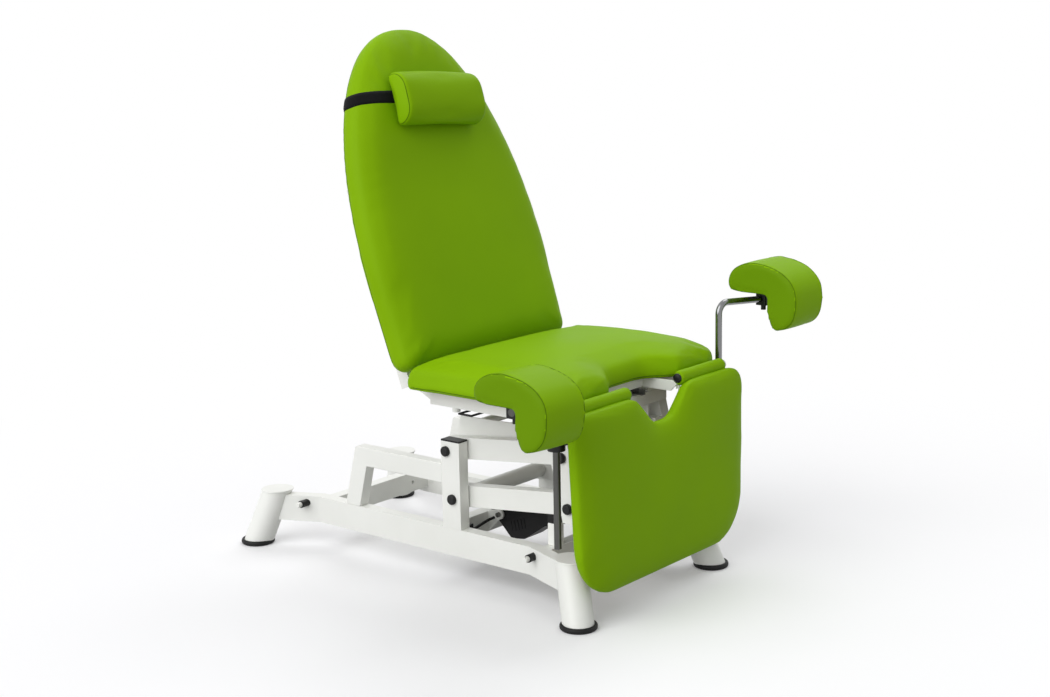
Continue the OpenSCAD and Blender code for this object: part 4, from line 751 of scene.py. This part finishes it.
def spline_outline(points, steps=6):
    """A closed smooth curve through the points, which lie closer where it turns sharply."""
    points = [Vector(p) for p in points]
    count = len(points)
    outline = []
    for i in range(count):
        a, b, c, d = (points[(i + k) % count] for k in (-1, 0, 1, 2))
        for step in range(steps):
            t = step / steps
            outline.append(0.5 * (2 * b + (c - a) * t + (2 * a - 5 * b + 4 * c - d) * t * t
                                  + (3 * b - 3 * c + d - a) * t ** 3))
    return outline


def end_levels(width, soft, waist=0.0):
    """Slices of a pad that rounds in at both ends and may be a little narrower in its middle."""
    levels = [(0, soft * 0.9, 0.35), (0, soft * 0.9, 0.75), (0.2, soft * 0.8, 1)]
    for degrees in range(15, 91, 15):
        a = math.radians(degrees)
        levels.append((soft * (1 - math.cos(a)), soft * (1 - math.sin(a)) * 0.9, 1))
    end_slices = len(levels)
    for share in (0.2, 0.35, 0.5, 0.65, 0.8):
        levels.append((width * share, waist * math.sin(math.pi * share), 1))
    return levels + [(width - across, inset, share)
                     for across, inset, share in reversed(levels[:end_slices])]


def head_pillow():
    """A half-round pillow on the back, which hangs on its band."""
    height, depth, length, up, rear = 127, 57, 262, 636, 63
    flat, bulge = depth * 0.2, depth * 0.76
    half = height / 2
    profile = rounded([(half, 0), (half, depth), (-half, depth), (-half, 0)],
                      [flat, bulge, bulge, flat])
    # It has slipped a little on the band, so it lies slightly low and out of level
    slipped = (Matrix.Translation(Vector((-8, up - 14, rear)) * MM)
               @ Matrix.Rotation(math.radians(-3.4), 4, "Z"))
    first_slice = Matrix.Translation(Vector((-length / 2, 0, 0)) * MM)
    place = on_back @ slipped @ first_slice @ PROFILE_ACROSS
    mesh, even = pillow_form(profile, end_levels(length, 8), voxel=0.0045, cap=0.004)
    skin = mesh.copy()
    mesh.transform(place)
    smooth(mesh)
    piece = link("pillow_upholstery", mesh, "back", "lime_vinyl", lime_vinyl)
    softened(piece)
    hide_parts("head_pillow")
    for side, across in (("right", 2.0), ("left", length - 2.0)):
        seam_line("pillow_welt_" + side, skin,
                  [Vector((*p, across)) * MM for p in drawn_in(even, 4.0)], "back", place)


head_pillow()

# Side view of a knee pad: a rest with a leg in front of it, as (backward, up) from its stud
PAD_PROFILE = [
    (30, 0), (48, 0), (57, 1.5), (61, 8), (62, 22), (56, 40), (39, 56), (15, 66), (-8, 69),
    (-32, 67), (-61, 60), (-86, 48), (-105, 32), (-117, 12), (-121, -9), (-121, -30), (-117, -50),
    (-109, -67), (-96, -79), (-80, -85), (-65, -86), (-59, -83), (-57, -75), (-57, -50), (-57, -20),
    (-57, -6), (-54, -1), (-46, 0), (-10, 0)]
PAD_WIDTH = 124
STUD = {"right": (-464.28, -444.37, 520.81), "left": (464.28, -444.37, 609.81)}
STUD_TO_PAD = 27
# The right pad is pressed flatter on top, and has settled forward and down on its plate and leans
PAD_HEIGHT = {"right": 0.88, "left": 0.97}
PAD_SETTLED = {"right": (-6, -3, 2.0), "left": (-2, 0, 0.0)}  # backward and up in mm, and degrees


def knee_pad(side):
    """A knee support: one padded form, whose two end panels take a darker copy of the vinyl as
    painted shade.
    """
    points = [(along, up * PAD_HEIGHT[side] if up > 0 else up) for along, up in PAD_PROFILE]
    profile = drawn_in(evened(spline_outline(points), 5)[::-1], 1.5)
    x, y, z = STUD[side]
    backward, up, lean = PAD_SETTLED[side]
    first_slice = Matrix.Translation(Vector((-PAD_WIDTH / 2, 0, 0)) * MM)
    place = (Matrix.Translation(spot(x, y + backward, z + STUD_TO_PAD + up))
             @ Matrix.Rotation(math.radians(lean), 4, "Y") @ first_slice @ PROFILE_ACROSS)
    mesh, even = pillow_form(profile, end_levels(PAD_WIDTH, 7, waist=1.0), voxel=0.0042, cap=0.0018,
                             stapled=lambda co: abs(co.y) < 2 * MM and co.x > -50 * MM)
    # The end faces take the darker vinyl copy, index 1: painted shade
    for face in mesh.polygons:
        face.material_index = 1 if abs(face.normal.z) > 0.75 else 0
    skin = mesh.copy()
    mesh.transform(place)
    smooth(mesh)
    piece = link("knee_upholstery_" + side, mesh, "pad_" + side, "lime_vinyl",
                 lime_vinyl, painted_shade_end_vinyl)
    softened(piece)
    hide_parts("knee_pad_" + side)
    for end, across in (("one", 1.5), ("two", PAD_WIDTH - 1.5)):
        seam_line(f"knee_welt_{side}_{end}", skin,
                  [Vector((*p, across)) * MM for p in drawn_in(even, 3.5)], "pad_" + side, place)


for side in SIDES:
    knee_pad(side)


def hinge_roll(side):
    """A strip of foam rolled in vinyl round the hinge rod: a lengthwise seam underneath, and folds
    where the cover is tucked in at both ends."""
    inner, outer, radius, middle_z, oval = 95.6, 272.6, 14.4, 484, 1.16
    around, along = 64, 46
    tucked = 9  # mm at each end, over which the roll narrows
    seam_angle, seam_half_width = 4.3, 0.09

    def on_roll(x, r, a):
        return spot(SIDES[side] * x, HINGE_Y + r * math.cos(a), middle_z + oval * r * math.sin(a))

    angles = [2 * math.pi * i / around for i in range(around)]
    rings = []
    for j in range(along + 1):
        share = j / along
        x = inner + (outer - inner) * share
        near_end = max(0.0, 1 - min(x - inner, outer - x) / tucked)
        ring = []
        for a in angles:
            folds = 0.45 * near_end * math.sin(7 * a + 1.3 * share)
            lumps = 0.25 * noise.noise(Vector((x * 0.05, math.cos(a) * 2, math.sin(a) * 2)))
            seam = 0.9 * math.exp(-((a - seam_angle) / seam_half_width) ** 2)
            ring.append(on_roll(x, radius - 3.2 * near_end ** 2.4 + (folds + lumps) - seam, a))
        rings.append(ring)
    for depth, r in ((1.0, 8.0), (3.0, 5.6)):
        rings.insert(0, [on_roll(inner + depth, r, a) for a in angles])
        rings.append([on_roll(outer - depth, r, a) for a in angles])
    if side == "right":
        rings.reverse()
    mesh = lofted(rings, sum(rings[0], Vector()) / around, sum(rings[-1], Vector()) / around)
    shape = bmesh.new()
    shape.from_mesh(mesh)
    bmesh.ops.recalc_face_normals(shape, faces=shape.faces)
    shape.to_mesh(mesh)
    shape.free()
    smooth(mesh)
    piece = link("hinge_roll_" + side, mesh, "leg", "lime_vinyl", lime_vinyl)
    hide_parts("leg_hinge_rolls")


for side in SIDES:
    hinge_roll(side)


# The pillow's elastic strap

def taut_round(points):
    """The line that a band pulled tight round these points takes: their convex hull."""
    points = sorted(points)
    sides = []
    for order in (points, points[::-1]):
        side = []
        for p in order:
            while len(side) > 1 and ((side[-1][0] - side[-2][0]) * (p[1] - side[-2][1])
                                     - (side[-1][1] - side[-2][1]) * (p[0] - side[-2][0])) <= 0:
                side.pop()
            side.append(p)
        sides += side[:-1]
    return sides


def pillow_strap():
    """An elastic band pulled tight round the back and its board. It rides up towards the sides,
    because the back narrows upward and the pillow pulls the middle down."""
    tree = surface_of(back_skin)
    up_the_back, width = 636, 30
    rows, count, rays = 5, 120, 240
    middle = 37  # depth of the point that the band goes round, in the cushion's own plane
    board_z = BOARD_Z - FOAM_Z - 0.6
    board_inset = 24
    clear = 0.8  # between the cover and the band

    def rise(x):
        """How far the band has ridden up at a place across."""
        most, side = 13, 210
        return most * min(1.0, abs(x) / side) ** 2

    def widest(up):
        return max(p.x for p in back_even if abs(p.y - up) < 9)

    def slanted(a, *rest):
        """A direction at an angle, spread sideways because the back is wide and thin."""
        return Vector((math.cos(a) * 4, *rest, math.sin(a))).normalized()

    def touch(ray, up):
        """Where a ray from outside meets the cover, at the height that the band has there."""
        level = up
        for _ in range(3):
            start = Vector((0, level, middle)) * MM
            found, _, _, _ = tree.ray_cast(start + ray * 0.6, -ray, 1.0)
            if found is None or found.z < 2 * MM:
                return None
            level = up + rise(found.x / MM)
        return found.x / MM, found.z / MM

    points = []
    for row in range(rows):
        up = up_the_back + width * (row / (rows - 1) - 0.5)
        half_board = widest(up + 12) - board_inset
        met = [touch(slanted(2 * math.pi * i / rays, 0), up) for i in range(rays)]
        corners = [(-half_board, board_z), (half_board, board_z)]
        line = [Vector(p) for p in taut_round([p for p in met if p] + corners)]
        for i in range(count):
            ray = slanted(2 * math.pi * i / count)
            reach = 0.0
            for k, p in enumerate(line):
                edge, to = line[(k + 1) % len(line)] - p, p - Vector((0, middle))
                cross = ray.x * edge.y - ray.y * edge.x
                if abs(cross) > 1e-9 and -1e-6 <= (to.x * ray.y - to.y * ray.x) / cross <= 1 + 1e-6:
                    reach = max(reach, (to.x * edge.y - to.y * edge.x) / cross)
            x = ray.x * (reach + clear)
            points.append(Vector((x, up + rise(x), middle + ray.y * (reach + clear))) * MM)
    faces = []
    for r in range(rows - 1):
        for i in range(count):
            k = (i + 1) % count
            faces.append((r * count + i, r * count + k, (r + 1) * count + k, (r + 1) * count + i))
    mesh = bpy.data.meshes.new("pillow_band")
    mesh.from_pydata(points, [], faces)
    mesh.transform(on_back_foam)
    smooth(mesh)
    piece = link("pillow_band", mesh, "back", "strap_fabric", elastic)
    thick = piece.modifiers.new("thickness", "SOLIDIFY")
    thick.thickness = 1.4 * MM
    thick.offset = 1.0
    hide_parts("pillow_strap")


pillow_strap()


# Rods of the knee supports

def support_rod(side):
    """A bent bar of round steel: up through its bush, round the bend and out along the arm."""
    bend_z = {"right": 532, "left": 621}[side]
    x, y, below, arm, r, bar_radius = 306, -421, 344, 175.4, 26, 8
    droop, turn = math.radians(4), math.radians(8.4)
    bend = math.pi / 2 + droop
    reach = r * math.tan(bend / 2)
    steps = 16
    path = [(0, -below + 1), (0, -reach)]
    path += [(r - r * math.cos(bend * i / steps), r * math.sin(bend * i / steps) - reach)
             for i in range(1, steps + 1)]
    path.append((arm * math.cos(droop), -arm * math.sin(droop)))
    points = [spot(SIDES[side] * (x + out * math.cos(turn)), y - out * math.sin(turn), bend_z + up)
              for out, up in path]
    # The right rod takes the darker chrome copy: painted shade
    piece = drawn_through(
        "bent_bar_" + side, "POLY", points, bar_radius * MM,
        chrome_painted_shade if side == "right" else chrome_plate, "support_rod_" + side, 10,
        True, {"use_smooth": True})
    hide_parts("support_rod_" + side)


for side in SIDES:
    support_rod(side)


# Turned pieces: the rubber boots and the hinge plugs

def turned(name, profile, places, body, slot, finish, axis="Z", around=56):
    """Pieces of one turned shape, from (radius, height) pairs in mm, at several places."""
    points, faces = [], []
    turn = Matrix.Rotation(math.radians(90), 3, "Y") if axis == "X" else Matrix.Identity(3)
    for place, sign in places:
        first = len(points)
        for radius, height in profile:
            for i in range(around):
                a = 2 * math.pi * i / around
                on_ring = Vector((radius * math.cos(a), radius * math.sin(a), sign * height))
                points.append(place + turn @ on_ring * MM)
        for j in range(len(profile) - 1):
            for i in range(around):
                k = (i + 1) % around
                quad = [first + j * around + i, first + j * around + k,
                        first + (j + 1) * around + k, first + (j + 1) * around + i]
                faces.append(quad if sign > 0 else quad[::-1])
        low = [first + i for i in range(around)]
        high = [i + (len(profile) - 1) * around for i in low]
        faces += [low[::-1], high] if sign > 0 else [low, high[::-1]]
    mesh = bpy.data.meshes.new(name)
    mesh.from_pydata(points, [], faces)
    smooth(mesh)
    piece = link(name, mesh, body, slot, finish)
    sharp = piece.modifiers.new("flat_faces_stay_flat", "WEIGHTED_NORMAL")
    sharp.mode = "FACE_AREA"
    return piece


FOOT = [(sign * 256, y) for sign in (-1, 1) for y in (-434, 577)]
BOOT_PROFILE = [(36.5, 0), (39, 0.6), (40.8, 2.4), (41.4, 5), (41.2, 8), (40.2, 10.4), (38.6, 11.8),
                (36.8, 12.2), (35.2, 12), (34, 10)]
PLUG_PROFILE = [(8.6, 0), (10.2, 0.4), (10.8, 1.4), (10.6, 3.4), (9.6, 5.2), (7.4, 6.6), (4, 7.4),
                (0.6, 7.6)]
PLUG_X = 95.9
boots = turned("foot_boots", BOOT_PROFILE, [(spot(x, y, 0), 1) for x, y in FOOT],
               "base", "rubber", black_rubber)
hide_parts("rubber_boots")
turned("hinge_plugs", PLUG_PROFILE,
       [(spot(PLUG_X, HINGE_Y, HINGE_Z), -1), (spot(-PLUG_X, HINGE_Y, HINGE_Z), 1)],
       "lift_frame", "black_plastic", black_abs, axis="X", around=40)


# Motor lead

def motor_lead():
    """The short lead from the actuator's bracket to the control box, in black PVC."""
    route = [(40.2, -17, 117), (50, -17, 117), (60, -15, 115), (72, -12, 111), (86, -10, 107),
             (100, -10, 105), (112, -12, 104), (129.8, -12, 104)]
    piece = drawn_through(
        "motor_cable", "NURBS", [spot(-x, y, z) for x, y, z in route], 3.4 * MM,
        black_rubber, "base", 5,
        True, {"use_endpoint_u": True, "order_u": 4, "resolution_u": 8})
    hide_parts("motor_lead")


motor_lead()


# Studio

FLOOR_HALF = 14.0  # metres
WHITE_FROM, WHITE_AT = 0.9, 2.2  # metres from the chair, where the floor turns to plain white


def studio_floor():
    """A pale sweep that reads as plain white and keeps the chair's soft shadow."""
    mesh = bpy.data.meshes.new("studio_floor")
    s = FLOOR_HALF
    mesh.from_pydata([(-s, -s, 0), (s, -s, 0), (s, s, 0), (-s, s, 0)], [], [(0, 1, 2, 3)])
    floor = bpy.data.objects.new("studio_floor", mesh)
    scene.collection.objects.link(floor)
    material = bpy.data.materials.new("studio_paper")
    material.use_nodes = True
    tree = material.node_tree
    tree.nodes.clear()
    # What lights the chair from below is grey paper, and what the camera and gloss see is paler
    paper = add(tree, "ShaderNodeBsdfDiffuse", {"Color": linear("#ACACAC")})
    shadowed = add(tree, "ShaderNodeBsdfDiffuse", {"Color": linear("#F0F0F2")})
    lift = add(tree, "ShaderNodeEmission", {"Color": linear("#FFFFFF"), "Strength": 0.11})
    near = add(tree, "ShaderNodeAddShader", feeds={0: shadowed.outputs[0], 1: lift.outputs[0]})
    white = add(tree, "ShaderNodeEmission", {"Color": linear("#FFFFFF"), "Strength": 1.0})
    place = add(tree, "ShaderNodeNewGeometry").outputs["Position"]
    distance = add(tree, "ShaderNodeVectorMath", {"operation": "LENGTH"}, {0: place})
    far = add(tree, "ShaderNodeMapRange", {"From Min": WHITE_FROM, "From Max": WHITE_AT},
              {"Value": distance.outputs["Value"]})
    seen = add(tree, "ShaderNodeMixShader",
               feeds={0: far.outputs["Result"], 1: near.outputs[0], 2: white.outputs[0]})
    rays = add(tree, "ShaderNodeLightPath").outputs
    shown = add(tree, "ShaderNodeMath", {"operation": "MAXIMUM"},
                {0: rays["Is Camera Ray"], 1: rays["Is Glossy Ray"]})
    mixed = add(tree, "ShaderNodeMixShader",
                feeds={0: shown.outputs[0], 1: paper.outputs[0], 2: seen.outputs[0]})
    add(tree, "ShaderNodeOutputMaterial", feeds={"Surface": mixed.outputs[0]})
    mesh.materials.append(material)


# Each lamp's name, strength, and in degrees its width, azimuth and elevation
LAMPS = [("key", 1.85, 60, -96, 31), ("rim", 0.85, 40, 100, 55)]
ROOM_STRENGTH = 0.5


def studio_light():
    """A large soft key from the sitter's right, a weak high one from the left, and the room."""
    for name, strength, width, azimuth, elevation in LAMPS:
        data = bpy.data.lights.new(name, "SUN")
        data.energy = strength
        data.angle = math.radians(width)
        lamp = bpy.data.objects.new(name, data)
        scene.collection.objects.link(lamp)
        a, e = math.radians(azimuth), math.radians(elevation)
        toward = Vector((math.sin(a) * math.cos(e), -math.cos(a) * math.cos(e), math.sin(e)))
        lamp.rotation_euler = toward.to_track_quat("Z", "Y").to_euler()
    world = bpy.data.worlds.new("studio_room")
    scene.world = world
    world.use_nodes = True
    tree = world.node_tree
    tree.nodes.clear()
    rays = add(tree, "ShaderNodeLightPath").outputs
    seen = add(tree, "ShaderNodeMath", {"operation": "MAXIMUM"},
               {0: rays["Is Camera Ray"], 1: rays["Is Glossy Ray"]})
    shown = add(tree, "ShaderNodeMath", {"operation": "MAXIMUM"},
                {0: seen.outputs[0], 1: rays["Is Transmission Ray"]})
    room = add(tree, "ShaderNodeBackground",
               {"Color": linear("#FFFFFF"), "Strength": ROOM_STRENGTH})
    backdrop = add(tree, "ShaderNodeBackground", {"Color": linear("#FFFFFF"), "Strength": 1.0})
    mixed = add(tree, "ShaderNodeMixShader",
                feeds={0: shown.outputs[0], 1: room.outputs[0], 2: backdrop.outputs[0]})
    add(tree, "ShaderNodeOutputWorld", feeds={"Surface": mixed.outputs[0]})
    scene.view_settings.view_transform = "Standard"


studio_floor()
studio_light()
